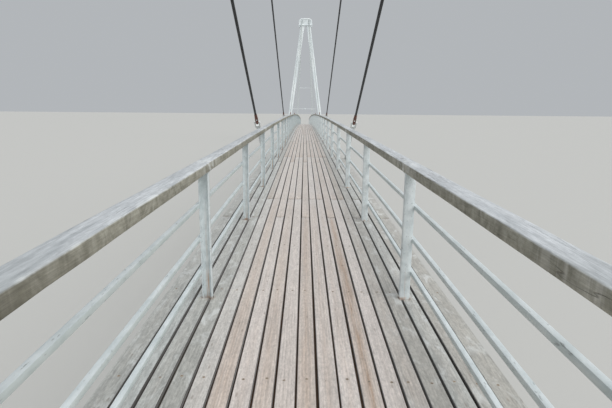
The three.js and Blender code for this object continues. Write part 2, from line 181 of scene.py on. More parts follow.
def turned(profile: list[Span], sides: int) -> Form:
    """A round bar along +Y.

    Args:
        profile: Pairs of radius and place along the bar, from one end to the other.
        sides: How many sides stand for the round.

    Returns:
        The bar, with its axis on the Y axis.
    """
    angles = np.arange(sides) * math.tau / sides
    sine, cosine = np.sin(angles), np.cos(angles)
    return loft([np.column_stack([r * cosine, np.full(sides, t), r * sine]) for r, t in profile])


def stepped(radius: float, start: float, profile: tuple[Span, ...], sides: int = 12) -> Form:
    """A round bar along +Y, from pairs of a share of its radius and a place beyond its start."""
    return turned([(radius * share, start + place) for share, place in profile], sides)


def drawn(outline: Section, low: float, high: float, along: Along) -> Form:
    """Draws an outline out to a solid, from low to high along the axis across the outline."""
    return loft([np.insert(outline, along.value, place, axis=1) for place in (low, high)])


def eased(across: Span, heights: Span, arris: float, steps: int = 1) -> Section:
    """A rectangle with its corners taken off.

    Args:
        across: Lowest and highest first coordinate.
        heights: Lowest and highest second coordinate.
        arris: How much is taken off at each corner.
        steps: Faces at each corner: one is a chamfer, more make it round.

    Returns:
        The outline, anticlockwise from its lower right corner.
    """
    (x0, x1), (z0, z1) = across, heights
    points = []
    for x, z, turn in ((x1 - arris, z0 + arris, -90), (x1 - arris, z1 - arris, 0),
                       (x0 + arris, z1 - arris, 90), (x0 + arris, z0 + arris, 180)):
        for step in range(steps + 1):
            angle = math.radians(turn + 90 * step / steps)
            points.append((x + arris * math.cos(angle), z + arris * math.sin(angle)))
    return np.array(points)


def block(low: Point, high: Point, arris: float) -> Form:
    """A rectangular block with all its edges taken off.

    Args:
        low: Its lowest corner.
        high: Its highest corner.
        arris: How much is taken off at each edge.

    Returns:
        The block.
    """
    (x0, y0, z0), (x1, y1, z1) = low, high
    full = eased((x0, x1), (z0, z1), arris)
    inner = eased((x0 + arris, x1 - arris), (z0 + arris, z1 - arris), arris / 4)
    places = [(inner, y0), (full, y0 + arris), (full, y1 - arris), (inner, y1)]
    return loft([np.insert(section, 1, y, axis=1) for section, y in places])


def pad(centre: Span, half: Span, heights: Span, arris: float) -> Form:
    """A block, by its middle and half its size in x and y, and its lowest and highest z."""
    (x, y), (a, b), (z0, z1) = centre, half, heights
    return block((x - a, y - b, z0), (x + a, y + b, z1), arris)


def beam_outline(size: Span, flange: float, web: float) -> Section:
    """An I-shaped outline with its top at height 0.

    Args:
        size: Width of the flanges, and depth over them.
        flange: Thickness of a flange.
        web: Thickness of the web.

    Returns:
        The outline, anticlockwise from its lower left corner.
    """
    w, t, low = size[0] / 2, web / 2, -size[1]
    return np.array([
        (-w, low), (w, low), (w, low + flange), (t, low + flange), (t, -flange), (w, -flange),
        (w, 0), (-w, 0), (-w, -flange), (-t, -flange), (-t, low + flange), (-w, low + flange),
    ])


def hexagon_nut(across: float, height: float) -> Form:
    """A nut or bolt head with its washer, standing up along +Z from height 0.

    Args:
        across: Size across the flats.
        height: Height over the washer and the nut.

    Returns:
        The nut.
    """
    flat, thick, wide = across / math.sqrt(3), across * 0.1, across * 0.62
    washer = turned([(wide, 0), (wide, thick)], 12)
    head = turned([(flat, thick), (flat, height * 0.85), (flat * 0.88, height)], 6)
    faces = [*washer.faces, *(tuple(i + len(washer.points) for i in face) for face in head.faces)]
    return Form(np.concatenate([washer.points, head.points]), faces).laid(UPRIGHT, ORIGIN)


class Piece:
    """One named piece of the visual model, collected from forms and then made."""

    def __init__(self, shape: str, node: str, tag: str, slot: Slot, *finishes: bpy.types.Material) -> None:
        """Starts an empty piece.

        Args:
            shape: The piece's name without its tag.
            node: The name of the CAD node that it stands for, without its tag.
            tag: The end of both names.
            slot: The material slot of its finish. It is not used.
            finishes: Its materials, in the order in which forms name them.
        """
        self.name, self.node = f"{shape}_{tag}", f"{node}_{tag}"
        self.slot = slot
        self.finishes = finishes
        self.points: list[np.ndarray] = []
        self.faces: list[tuple[int, ...]] = []
        self.indices: list[int] = []
        self.values: dict[str, list[tuple[int, np.ndarray]]] = {}
        self.count = 0

    def add(self, *forms: Form, finish: int = 0, **values: float | np.ndarray) -> None:
        """Adds forms.

        Args:
            forms: The forms.
            finish: Which of the piece's materials they get.
            values: Values painted on each form's points, one for all or one for each.
        """
        for form in forms:
            size, offset = len(form.points), self.count
            self.points.append(form.points)
            self.faces.extend(tuple(i + offset for i in face) for face in form.faces)
            self.indices.extend([finish] * len(form.faces))
            for name, value in values.items():
                painted = np.broadcast_to(np.asarray(value, float), (size,))
                self.values.setdefault(name, []).append((offset, painted))
            self.count += size

    def make(self, sharp: float = 34.0) -> None:
        """Makes the mesh object and places it on the frame.

        Args:
            sharp: Edges that turn by more than this many degrees stay sharp.
        """
        mesh = bpy.data.meshes.new(self.name)
        mesh.from_pydata(np.concatenate(self.points) * SCALE, [], self.faces)
        for material in self.finishes:
            mesh.materials.append(material)
        mesh.polygons.foreach_set("material_index", self.indices)
        for name, parts in self.values.items():
            painted = np.zeros(self.count, np.float32)
            for offset, value in parts:
                painted[offset:offset + len(value)] = value
            mesh.attributes.new(name, "FLOAT", "POINT").data.foreach_set("value", painted)
        mesh.shade_smooth()
        mesh.set_sharp_from_angle(angle=math.radians(sharp))
        mesh.update()
        thing = bpy.data.objects.new(self.name, mesh)
        bpy.context.scene.collection.objects.link(thing)
        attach(thing, BODY)
        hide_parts(self.node)
        LOG.info("%s: %d points, %d faces, stands for %s", self.name, self.count, len(self.faces), self.node)


# Materials.


def tint(red: int, green: int, blue: int) -> Colour:
    """A colour for a shader, from the values a screen shows.

    Args:
        red: Red, from 0 to 255.
        green: Green.
        blue: Blue.

    Returns:
        The linear colour.
    """
    shares = [value / 255 for value in (red, green, blue)]
    linear = [s / 12.92 if s <= 0.04045 else ((s + 0.055) / 1.055) ** 2.4 for s in shares]
    return linear[0], linear[1], linear[2], 1.0


@dataclass(frozen=True)
class Wire:
    """A node's output, which can be reckoned with like a number."""

    recipe: "Recipe"
    socket: bpy.types.NodeSocket

    def __add__(self, other: "Wire | float") -> "Wire":
        """The sum."""
        return self.recipe.maths("ADD", self, other)

    def __sub__(self, other: "Wire | float") -> "Wire":
        """The difference."""
        return self.recipe.maths("SUBTRACT", self, other)

    def __mul__(self, other: "Wire | float") -> "Wire":
        """The product."""
        return self.recipe.maths("MULTIPLY", self, other)

    def __abs__(self) -> "Wire":
        """The value without its sign."""
        return self.recipe.maths("ABSOLUTE", self)

    def most(self, other: "Wire | float") -> "Wire":
        """The larger of two."""
        return self.recipe.maths("MAXIMUM", self, other)

    def folded(self, length: float) -> "Wire":
        """Runs from 0 up to a length and back, again and again."""
        return self.recipe.maths("PINGPONG", self, length)

    def level(self, start: float, stop: float, low: float = 0.0, high: float = 1.0) -> "Wire":
        """Stretches the value, so that start gives low and stop gives high, and holds it beyond."""
        inputs = {"Value": self, "From Min": start, "From Max": stop, "To Min": low, "To Max": high}
        return self.recipe.wire("ShaderNodeMapRange", inputs, clamp=True)


class Recipe:
    """A material made of nodes, with patterns placed in the real bridge's metres."""

    SEED_STEP = (13.7, 7.9, 5.3)

    def __init__(self, name: str, seeded: bool = False) -> None:
        """Starts a material.

        Args:
            name: The material's name.
            seeded: Whether each board or bar gets its own part of the patterns.
        """
        self.material = bpy.data.materials.new(name)
        self.material.use_nodes = True
        self.tree = self.material.node_tree
        self.shader = self.tree.nodes["Principled BSDF"]
        self.seeded = seeded
        self.colour: Wire | Colour = WHITE

    def wire(self, kind: str, inputs: dict | None = None, out: int | str = 0, **settings: object) -> Wire:
        """Adds a node.

        Args:
            kind: The node's type.
            inputs: Wires or plain values for its inputs, by name or number.
            out: Which output is wanted.
            settings: Its properties.

        Returns:
            The output.
        """
        node = self.tree.nodes.new(kind)
        for name, value in settings.items():
            setattr(node, name, value)
        for name, value in (inputs or {}).items():
            if isinstance(value, Wire):
                self.tree.links.new(value.socket, node.inputs[name])
            else:
                node.inputs[name].default_value = value
        return Wire(self, node.outputs[out])

    def split(self, vector: Wire, axis: Along) -> Wire:
        """One coordinate of a vector."""
        return self.wire("ShaderNodeSeparateXYZ", {0: vector}, axis.value)

    def metres(self, axis: Along) -> Wire:
        """Where a point is along one axis, in metres."""
        return self.split(self.wire("ShaderNodeTexCoord", out="Object"), axis) * (1 / SCALE)

    def upward(self) -> Wire:
        """How much a face looks up, from -1 to 1."""
        return self.split(self.wire("ShaderNodeNewGeometry", out="Normal"), Along.Z)

    def painted(self, name: str) -> Wire:
        """A value painted on the piece's points."""
        return self.wire("ShaderNodeAttribute", out="Fac", attribute_name=name)

    def place(self, stretch: Point) -> Wire:
        """Where a point is, for a pattern.

        Args:
            stretch: How many turns of the pattern go in one metre along X, Y and Z.

        Returns:
            The vector.
        """
        here = self.wire("ShaderNodeTexCoord", out="Object")
        factors = tuple(value / SCALE for value in stretch)
        vector = self.wire("ShaderNodeVectorMath", {0: here, 1: factors}, operation="MULTIPLY")
        if not self.seeded:
            return vector
        seed = self.wire("ShaderNodeAttribute", out="Vector", attribute_name="seed")
        inputs = {0: seed, 1: self.SEED_STEP, 2: vector}
        return self.wire("ShaderNodeVectorMath", inputs, operation="MULTIPLY_ADD")

    def noise(self, stretch: Point, detail: float = 3.0, rough: float = 0.5, twist: float = 0.0) -> Wire:
        """A cloudy pattern from 0 to 1, mostly near 0.5.

        Args:
            stretch: Its turns in one metre along X, Y and Z.
            detail: Octaves.
            rough: How strong the small ones are.
            twist: How much the pattern is distorted.

        Returns:
            The value.
        """
        inputs = {
            "Vector": self.place(stretch), "Scale": 1.0, "Detail": detail, "Roughness": rough,
            "Distortion": twist,
        }
        return self.wire("ShaderNodeTexNoise", inputs, "Fac")

    def cells(self, stretch: Point, share: float, size: float) -> Wire:
        """Separate round spots.

        Args:
            stretch: Cells in one metre along X, Y and Z.
            share: Which share of the cells has a spot.
            size: Radius of a spot, in cells.

        Returns:
            1 in the middle of a spot and 0 outside.
        """
        inputs = {"Vector": self.place(stretch), "Scale": 1.0, "Randomness": 0.9}
        distance = self.wire("ShaderNodeTexVoronoi", inputs, "Distance")
        colour = Wire(self, distance.socket.node.outputs["Color"])
        return distance.level(size, size * 0.45) * self.maths("LESS_THAN", self.split(colour, Along.X), share)

    def rings(self, stretch: Point, twist: float, detail: float) -> Wire:
        """Bands across X, bent like the growth rings of a sawn board.

        Args:
            stretch: Their turns in one metre along X, Y and Z.
            twist: How much they are bent.
            detail: Octaves of the bends.

        Returns:
            A value from 0 to 1.
        """
        inputs = {
            "Vector": self.place(stretch), "Scale": 1.0, "Distortion": twist, "Detail": detail,
            "Detail Scale": 1.2,
        }
        return self.wire("ShaderNodeTexWave", inputs, "Fac", bands_direction="X")

    def maths(self, operation: str, first: Wire, second: Wire | float = 0.0) -> Wire:
        """A sum, product or other step with one or two values."""
        return self.wire("ShaderNodeMath", {0: first, 1: second}, operation=operation)

    def mix(self, share: Wire | float, first: Wire | Colour, second: Wire | Colour, way: str = "MIX") -> Wire:
        """Goes from the first colour to the second as share goes from 0 to 1."""
        inputs = {0: share, 6: first, 7: second}
        return self.wire("ShaderNodeMix", inputs, 2, data_type="RGBA", blend_type=way)

    def blend(self, share: Wire | float, other: Wire | Colour) -> None:
        """Takes the material's colour towards another as share goes from 0 to 1."""
        self.colour = self.mix(share, self.colour, other)

    def shade(self, value: Wire) -> None:
        """Makes the material's colour darker or lighter by a value around 1."""
        self.colour = self.mix(1.0, self.colour, value, "MULTIPLY")

    def finish(self, rough: Wire, relief: Wire, depth: float, metallic: float = 0.0) -> bpy.types.Material:
        """Sets the shader.

        Args:
            rough: Roughness.
            relief: Height of the surface, from 0 to about 1.
            depth: What a relief of 1 stands for, in metres of the real bridge.
            metallic: Share of bare metal.

        Returns:
            The material.
        """
        bump = self.wire("ShaderNodeBump", {"Height": relief, "Distance": depth * SCALE, "Strength": 1.0})
        for name, wire in (("Base Color", self.colour), ("Roughness", rough), ("Normal", bump)):
            self.tree.links.new(wire.socket, self.shader.inputs[name])
        self.shader.inputs["Metallic"].default_value = metallic
        return self.material


@dataclass(frozen=True)
class DeckTimber:
    """Sawn boards, walked to a pale beige in the middle and weathered grey at the sides."""

    walked_pale: Colour = tint(219, 211, 206)
    walked_dark: Colour = tint(207, 194, 184)
    side_pale: Colour = tint(198, 203, 201)
    side_dark: Colour = tint(174, 172, 165)
    streak: Colour = tint(182, 153, 129)
    knot: Colour = tint(104, 84, 66)
    painted_gap_shade: Colour = tint(44, 33, 25)
    weathered: Colour = tint(132, 125, 113)
    bleach: Colour = tint(226, 230, 230)
    ochre: Colour = tint(142, 116, 84)
    edge_x: float = 1.15
    arris_shade_y: Span = (-28.8, -26.6)
    lit_x: Span = (-0.3, 0.15)
    fuzz: float = 0.45
    post_spacing: float = POST_BAY
    post_x: float = POST_X
    relief: float = 0.0011

    def make(self) -> bpy.types.Material:
        """Mixes the broad tones, the grain and the marks.

        Returns:
            The material.
        """
        r = Recipe("deck_timber", seeded=True)
        tone, grey = r.painted("tone"), r.painted("grey")
        walked = r.mix(tone, self.walked_dark, self.walked_pale)
        side = r.mix(tone, self.side_dark, self.side_pale)
        clouds = r.noise((9.0, 1.6, 9.0), 4.0, 0.6)
        r.colour = r.mix(grey, walked, side)
        r.shade(clouds.level(0.3, 0.7, 0.9, 1.07))
        wander = r.noise((1.2, 0.6, 1.2), 3.0, 0.55).level(0.3, 0.7, -0.3, 0.4)
        streaks = r.noise((55.0, 2.2, 55.0), 4.0, 0.6, 0.4).level(0.34, 0.62, 0.35, 1.0)
        warm = (r.painted("core") + wander).level(0.05, 0.95) * streaks * r.painted("warm")
        r.blend(warm, self.streak)
        lens = r.noise((75.0, 5.0, 75.0), 3.0, 0.6, 0.6).level(0.57, 0.66)
        r.blend(lens * warm * 0.5, self.knot)
        growth = r.rings((15.0, 0.4, 15.0), 9.0, 3.0)
        depth = r.noise((2.0, 0.8, 2.0), 2.0).level(0.42, 0.6, 1.0, 0.86)
        r.shade(growth.level(0.0, 0.5, 0.8, 1.0).most(depth))
        grain = r.noise((90.0, 5.0, 90.0), 4.0, 0.7, 0.5)
        r.shade(grain.level(0.34, 0.64, 0.84, 1.06))
        dashes = r.noise((80.0, 32.0, 80.0), 4.0, 0.75)
        r.shade(dashes.level(0.34, 0.66, 0.8, 1.13))
        blots = r.noise((34.0, 8.0, 34.0), 4.0, 0.65, 0.4)
        r.shade(blots.level(0.32, 0.5).most(grey.level(0.0, 1.0, 0.94, 0.84)))
        r.blend(r.cells((30.0, 9.0, 30.0), 0.2, 0.24) * 0.42, self.knot)
        knots = r.cells((9.0, 5.0, 9.0), 0.035, 0.15)
        r.blend(knots * 0.7, self.knot)
        patches = r.noise((9.0, 4.2, 9.0), 4.0, 0.6, 0.6).level(0.55, 0.68)
        r.blend(patches * grey * 0.5, self.bleach)
        self.soil(r)
        self.edge(r, grain)
        r.shader.inputs["Sheen Weight"].default_value = self.fuzz
        relief = grain + growth * 0.5 - knots * 0.5
        return r.finish(grain.level(0.3, 0.7, 0.74, 0.56), relief, self.relief)

    def soil(self, r: Recipe) -> None:
        """Darkens the boards' ends, and stains them round the posts.

        Args:
            r: The recipe.
        """
        blotch = r.noise((14.0, 9.0, 14.0), 3.0, 0.6)
        end = r.painted("from_end").level(0.07, 0.0) * blotch.level(0.4, 0.62)
        r.blend(end * 0.6, self.knot)
        across = abs(r.metres(Along.X)) - self.post_x
        along = r.metres(Along.Y).folded(self.post_spacing / 2)
        reach = r.maths("SQRT", across * across + along * along)
        ring = reach.level(0.075, 0.04) * blotch.level(0.4, 0.6)
        r.blend(ring * 0.7, self.ochre)

    def edge(self, r: Recipe, grain: Wire) -> None:
        """Paints shade on the arrises and on the boards' sides in the gaps, and gives the outer sides and
        undersides a weathered colour.

        Args:
            r: The recipe.
            grain: The grain.
        """
        x, up = r.metres(Along.X), r.upward()
        # Painted shade on the arrises, stronger along most of the bridge and on the left, where the lamp
        # lights them.
        arris_shade = r.metres(Along.Y).level(*self.arris_shade_y, 0.15, 1.0).most(x.level(*self.lit_x, 0.9, 0.15))
        r.blend(up.level(0.98, 0.8) * arris_shade, self.painted_gap_shade)
        # The boards' sides in the gaps get near-black painted shade.
        open_air = abs(x).level(self.edge_x - 0.002, self.edge_x).most(up.level(-0.5, -0.9, 0.0, 0.6))
        sawn = r.mix(open_air, self.painted_gap_shade, self.weathered)
        sawn = r.mix(1.0, sawn, grain.level(0.3, 0.7, 0.8, 1.15), "MULTIPLY")
        r.blend(up.level(0.55, 0.15), sawn)


@dataclass(frozen=True)
class HandrailTimber:
    """Thick weathered bars: silvery blue-grey on top, warmer and streaked at the sides."""

    top_pale: Colour = tint(208, 212, 216)
    top_dark: Colour = tint(172, 177, 181)
    side_pale: Colour = tint(174, 172, 159)
    side_dark: Colour = tint(131, 129, 116)
    damp: Colour = tint(96, 93, 80)
    drip: Colour = tint(200, 198, 189)
    soiled: Colour = tint(140, 146, 147)
    crack: Colour = tint(62, 56, 48)
    blotch: Colour = tint(222, 226, 225)
    joint_spacing: float = CHORD
    post_spacing: float = POST_BAY
    relief: float = 0.0012

    def make(self) -> bpy.types.Material:
        """Mixes the top's and the sides' tones, then the grain and the marks.

        Returns:
            The material.
        """
        r = Recipe("handrail_timber", seeded=True)
        y, up, dark = r.metres(Along.Y), r.upward(), r.painted("dark")
        streaks = r.noise((34.0, 2.6, 34.0), 5.0, 0.65, 0.5).level(0.32, 0.66)
        share = streaks + r.painted("tone").level(0.0, 1.0, -0.2, 0.2)
        top = r.mix(dark * 0.75, r.mix(share, self.top_dark, self.top_pale), self.soiled)
        drips = r.noise((6.0, 9.0, 7.0), 5.0, 0.65, 1.4).level(0.36, 0.66)
        side = r.mix(dark * r.painted("damp"), r.mix(drips, self.side_dark, self.side_pale), self.damp)
        at_post = y.folded(self.post_spacing / 2).level(0.75, 0.12)
        runs = r.noise((5.0, 13.0, 1.6), 4.0, 0.6, 0.8).level(0.44, 0.62)
        side = r.mix(at_post * runs * r.painted("drips"), side, self.drip)
        r.colour = r.mix(up.level(0.35, 0.85), side, top)
        r.shade(r.noise((7.0, 1.3, 7.0)).level(0.3, 0.7, 0.88, 1.08))
        flakes = r.noise((48.0, 13.0, 48.0), 4.0, 0.7, 0.7)
        r.shade(flakes.level(0.34, 0.66, 0.86, 1.1))
        # Pale patches along the worn top arris: a painted highlight.
        arris_highlight = r.noise((16.0, 6.0, 16.0), 4.0, 0.6, 0.8).level(0.47, 0.6)
        edge = up.level(0.25, 0.5) * up.level(1.0, 0.93)
        r.blend(edge * arris_highlight * 0.5, self.blotch)
        grain = r.noise((210.0, 4.5, 210.0), 3.0, 0.6)
        r.shade(grain.level(0.34, 0.64, 0.84, 1.05))
        line = abs(r.noise((26.0, 0.9, 26.0), 2.0, 0.5, 0.4) - 0.5)
        cracks = line.level(0.008, 0.002) * r.noise((3.0, 1.4, 3.0), 2.0).level(0.5, 0.58)
        r.blend(cracks * 0.4, self.crack)
        r.blend(r.cells((9.0, 3.0, 9.0), 0.1, 0.16) * 0.6, self.crack)
        half = self.joint_spacing / 2
        at_joint = y.folded(half).level(half - 0.3, half - 0.02)
        cloud = r.noise((16.0, 10.0, 16.0), 4.0, 0.6, 0.5).level(0.45, 0.6)
        r.blend(at_joint * cloud * 0.7, self.blotch)
        return r.finish(grain.level(0.3, 0.7, 0.88, 0.68), grain - cracks * 2.0, self.relief)


@dataclass(frozen=True)
class RailingSteel:
    """Pale galvanised coating, chipped along the rails and rusting at the posts' feet."""

    coat: Colour = tint(228, 235, 237)
    dull: Colour = tint(204, 213, 215)
    film: Colour = tint(182, 196, 192)
    chip: Colour = tint(150, 156, 155)
    rust: Colour = tint(190, 140, 98)
    blush: Colour = tint(204, 190, 176)
    post_x: float = POST_X

    def make(self) -> bpy.types.Material:
        """Mixes the coating, its chips, and the rust that runs down the posts' middle.

        Returns:
            The material.
        """
        r = Recipe("railing_steel", seeded=True)
        height, post, rusty = (r.painted(name) for name in ("height", "post", "rusty"))
        mottle = r.noise((22.0, 7.0, 16.0), 4.0, 0.6)
        r.colour = r.mix(mottle.level(0.34, 0.66), self.dull, self.coat)
        # The rails' sides and undersides get a greenish film and painted shade, darker than their tops.
        side = r.upward().level(0.85, 0.45) - post
        r.blend(side.level(0.0, 1.0, 0.0, 0.42), self.film)
        chips = r.noise((70.0, 16.0, 70.0), 4.0, 0.65, 0.4).level(0.63, 0.67)
        r.blend(chips * 0.7, self.chip)
        middle = abs(abs(r.metres(Along.X)) - self.post_x).level(0.015, 0.004)
        runs = r.noise((90.0, 90.0, 4.0), 4.0, 0.6, 0.3)
        blush = height.level(0.85, 0.5) * runs.level(0.36, 0.6) * middle * rusty
        r.blend(blush * 0.35, self.blush)
        foot = height.level(0.3, 0.08) * runs.level(0.4, 0.58) * middle * rusty
        r.blend(foot * 0.95, self.rust)
        splash = height.level(0.022, 0.004) * mottle.level(0.45, 0.62, 0.0, 0.7)
        r.blend(splash * post, self.rust)
        return r.finish(mottle.level(0.3, 0.7, 0.55, 0.38), mottle - chips * 1.2, 0.0007, 0.15)


@dataclass(frozen=True)
class FrameSteel:
    """Dulled zinc under the deck, with its spangle, white bloom and rust runs."""

    zinc: Colour = tint(172, 178, 180)
    dark: Colour = tint(132, 138, 141)
    bloom: Colour = tint(206, 210, 208)
    rust: Colour = tint(142, 92, 56)

    def make(self) -> bpy.types.Material:
        """Mixes the spangle, the bloom and the rust.

        Returns:
            The material.
        """
        r = Recipe("frame_steel")
        inputs = {"Vector": r.place((38.0, 38.0, 38.0)), "Scale": 1.0}
        spangle = r.split(r.wire("ShaderNodeTexVoronoi", inputs, "Color"), Along.X)
        r.colour = r.mix(spangle.level(0.0, 1.0, 0.2, 0.8), self.dark, self.zinc)
        clouds = r.noise((4.0, 2.0, 9.0), 4.0, 0.6)
        r.blend(clouds.level(0.5, 0.75, 0.0, 0.6), self.bloom)
        runs = r.noise((24.0, 24.0, 2.0), 4.0, 0.6)
        r.blend(runs.level(0.62, 0.72, 0.0, 0.6), self.rust)
        return r.finish(clouds.level(0.3, 0.7, 0.42, 0.62), clouds, 0.0008, 0.35)


@dataclass(frozen=True)
class PylonPaint:
    """Pale blue-white satin paint with faint rain marks."""

    paint: Colour = tint(236, 242, 244)
    worn: Colour = tint(214, 223, 227)
    grime_and_shade: Colour = tint(150, 154, 150)

    def make(self) -> bpy.types.Material:
        """Mixes the paint, the rain marks with their grime, and painted shade in the heads' sunk panels.

        Returns:
            The material.
        """
        r = Recipe("pylon_paint")
        clouds = r.noise((1.6, 1.6, 0.7), 4.0, 0.55)
        r.colour = r.mix(clouds.level(0.35, 0.65), self.worn, self.paint)
        runs = r.noise((11.0, 11.0, 0.5), 4.0, 0.6, 0.2)
        marks = runs.level(0.55, 0.72) * r.upward().level(0.7, 0.2)
        r.blend(marks * 0.45, self.grime_and_shade)
        # Painted shade in the heads' sunk panels.
        r.blend(r.painted("sunk") * 0.14, self.grime_and_shade)
        specks = r.noise((40.0, 40.0, 40.0))
        r.shade(specks.level(0.3, 0.7, 0.96, 1.03))
        return r.finish(clouds.level(0.3, 0.7, 0.44, 0.3), specks, 0.0009)


@dataclass(frozen=True)
class StayStrand:
    """Locked-coil cable with its outer wires in a long twist, dark below, and paler above with a painted
    reflection of the sky.
    """

    wire: Colour = tint(62, 64, 66)
    groove: Colour = tint(30, 31, 32)
    sky_reflection: Colour = tint(194, 201, 199)
    wires: int = 9
    lay: float = 0.32

    def make(self) -> bpy.types.Material:
        """Draws the wires from the values painted along and round the strand.

        Returns:
            The material.
        """
        r = Recipe("stay_strand")
        angle = r.maths("ARCTAN2", r.painted("turn_sine"), r.painted("turn_cosine"))
        turns = angle * self.wires + r.painted("reach") * (math.tau / self.lay)
        ridge = r.maths("SINE", turns).level(-1.0, 1.0)
        clouds = r.noise((9.0, 9.0, 3.0))
        r.colour = r.mix(ridge.level(0.0, 0.45), self.groove, self.wire)
        r.shade(clouds.level(0.3, 0.7, 0.8, 1.15))
        # Faces that look up get a painted reflection of the sky.
        above = r.upward() + clouds.level(0.3, 0.7, -0.12, 0.12)
        pale = r.mix(ridge.level(0.0, 0.3, 0.35, 0.0), self.sky_reflection, self.groove)
        r.blend(above.level(-0.05, 0.3), pale)
        return r.finish(clouds.level(0.3, 0.7, 0.6, 0.42), ridge, 0.003, 0.25)


@dataclass(frozen=True)
class CastConcrete:
    """Board-marked concrete with water marks and small blow holes."""

    pale: Colour = tint(190, 186, 177)
    dark: Colour = tint(152, 148, 139)
    damp: Colour = tint(104, 102, 92)
    moss: Colour = tint(108, 112, 82)
    board: float = 0.15

    def make(self) -> bpy.types.Material:
        """Mixes the concrete, its seams and holes, and the damp and moss.

        Returns:
            The material.
        """
        r = Recipe("cast_concrete")
        z, wall = r.metres(Along.Z), r.upward().level(0.6, 0.2)
        clouds = r.noise((1.3, 1.3, 1.0), 6.0, 0.6)
        sand = r.noise((60.0, 60.0, 60.0), 4.0, 0.7)
        r.colour = r.mix(clouds.level(0.35, 0.65), self.dark, self.pale)
        r.shade(sand.level(0.3, 0.7, 0.9, 1.07))
        runs = r.noise((7.0, 7.0, 0.4), 4.0, 0.6)
        r.blend(runs.level(0.52, 0.7) * wall * 0.6, self.damp)
        r.blend(z.level(0.5, 0.0) * clouds.level(0.4, 0.6) * 0.5, self.moss)
        seam = z.folded(self.board / 2).level(0.0, 0.006).most(wall.level(1.0, 0.0))
        r.shade(seam.level(0.0, 1.0, 0.86, 1.0))
        holes = r.cells((14.0, 14.0, 14.0), 0.3, 0.16)
        r.blend(holes * 0.6, self.damp)
        relief = sand * 0.3 + seam * 0.7 - holes
        return r.finish(sand.level(0.3, 0.7, 0.95, 0.82), relief, 0.005)


@dataclass(frozen=True)
class GapDirtAndShade:
    """Dirt packed between the boards, brown where people walk and grey under the railings, which also stands
    in for the shade in the gaps.
    """

    walked: Colour = tint(92, 69, 52)
    side: Colour = tint(92, 86, 76)
    dark: Colour = tint(50, 38, 29)
    side_x: Span = (0.6, 0.75)
    darker_y: Span = (-28.5, -20.0)

    def make(self) -> bpy.types.Material:
        """Mixes the dirt, and darkens it with painted shade along most of the bridge.

        Returns:
            The material.
        """
        r = Recipe("packed_dirt_and_shade")
        r.colour = r.mix(abs(r.metres(Along.X)).level(*self.side_x), self.walked, self.side)
        clouds = r.noise((30.0, 6.0, 30.0), 4.0, 0.6)
        r.blend(clouds.level(0.4, 0.7, 0.0, 0.8), self.dark)
        # Painted shade in the gaps, deeper along most of the bridge.
        r.shade(r.metres(Along.Y).level(*self.darker_y, 0.7, 0.35))
        return r.finish(clouds.level(0.3, 0.7, 0.95, 0.8), clouds, 0.002)


@dataclass(frozen=True)
class Mottled:
    """A plain clouded finish for small pieces, with rust runs where it has any."""

    name: str
    first: Colour
    second: Colour
    stretch: Point = (30.0, 12.0, 30.0)
    rough: Span = (0.9, 0.7)
    depth: float = 0.002
    metallic: float = 0.0
    rust: Colour | None = None

    def make(self) -> bpy.types.Material:
        """Mixes the two colours, and the rust over them.

        Returns:
            The material.
        """
        r = Recipe(self.name)
        clouds = r.noise(self.stretch, 4.0, 0.6)
        r.colour = r.mix(clouds.level(0.35, 0.65), self.first, self.second)
        if self.rust:
            runs = r.noise((60.0, 60.0, 5.0), 4.0, 0.6)
            r.blend(runs.level(0.6, 0.7, 0.0, 0.5), self.rust)
        return r.finish(clouds.level(0.3, 0.7, *self.rough), clouds, self.depth, self.metallic)


class Finishes:
    """The materials that the pieces share."""

    def __init__(self) -> None:
        """Makes each material once."""
        self.deck_timber = DeckTimber().make()
        self.handrail_timber = HandrailTimber().make()
        self.railing_steel = RailingSteel().make()
        self.frame_steel = FrameSteel().make()
        self.pylon_paint = PylonPaint().make()
        self.anchor_paint = Mottled(
            "anchor_paint", tint(206, 212, 212), tint(232, 236, 236), (14.0, 14.0, 6.0), (0.5, 0.36), 0.0006,
            0.1, tint(158, 104, 70),
        ).make()
        self.turnbuckle = Mottled(
            "turnbuckle_paint", tint(84, 52, 42), tint(126, 72, 56), (40.0, 40.0, 24.0), (0.6, 0.45), 0.001,
            0.1,
        ).make()
        self.strand = StayStrand().make()
        self.concrete = CastConcrete().make()
        self.screw = Mottled("screw_steel", tint(130, 117, 104), tint(100, 90, 80), metallic=0.2).make()
        self.screw_stain = Mottled("screw_stain", tint(176, 163, 148), tint(150, 138, 123)).make()
        self.packed_dirt_and_shade = GapDirtAndShade().make()


# The line of the deck.


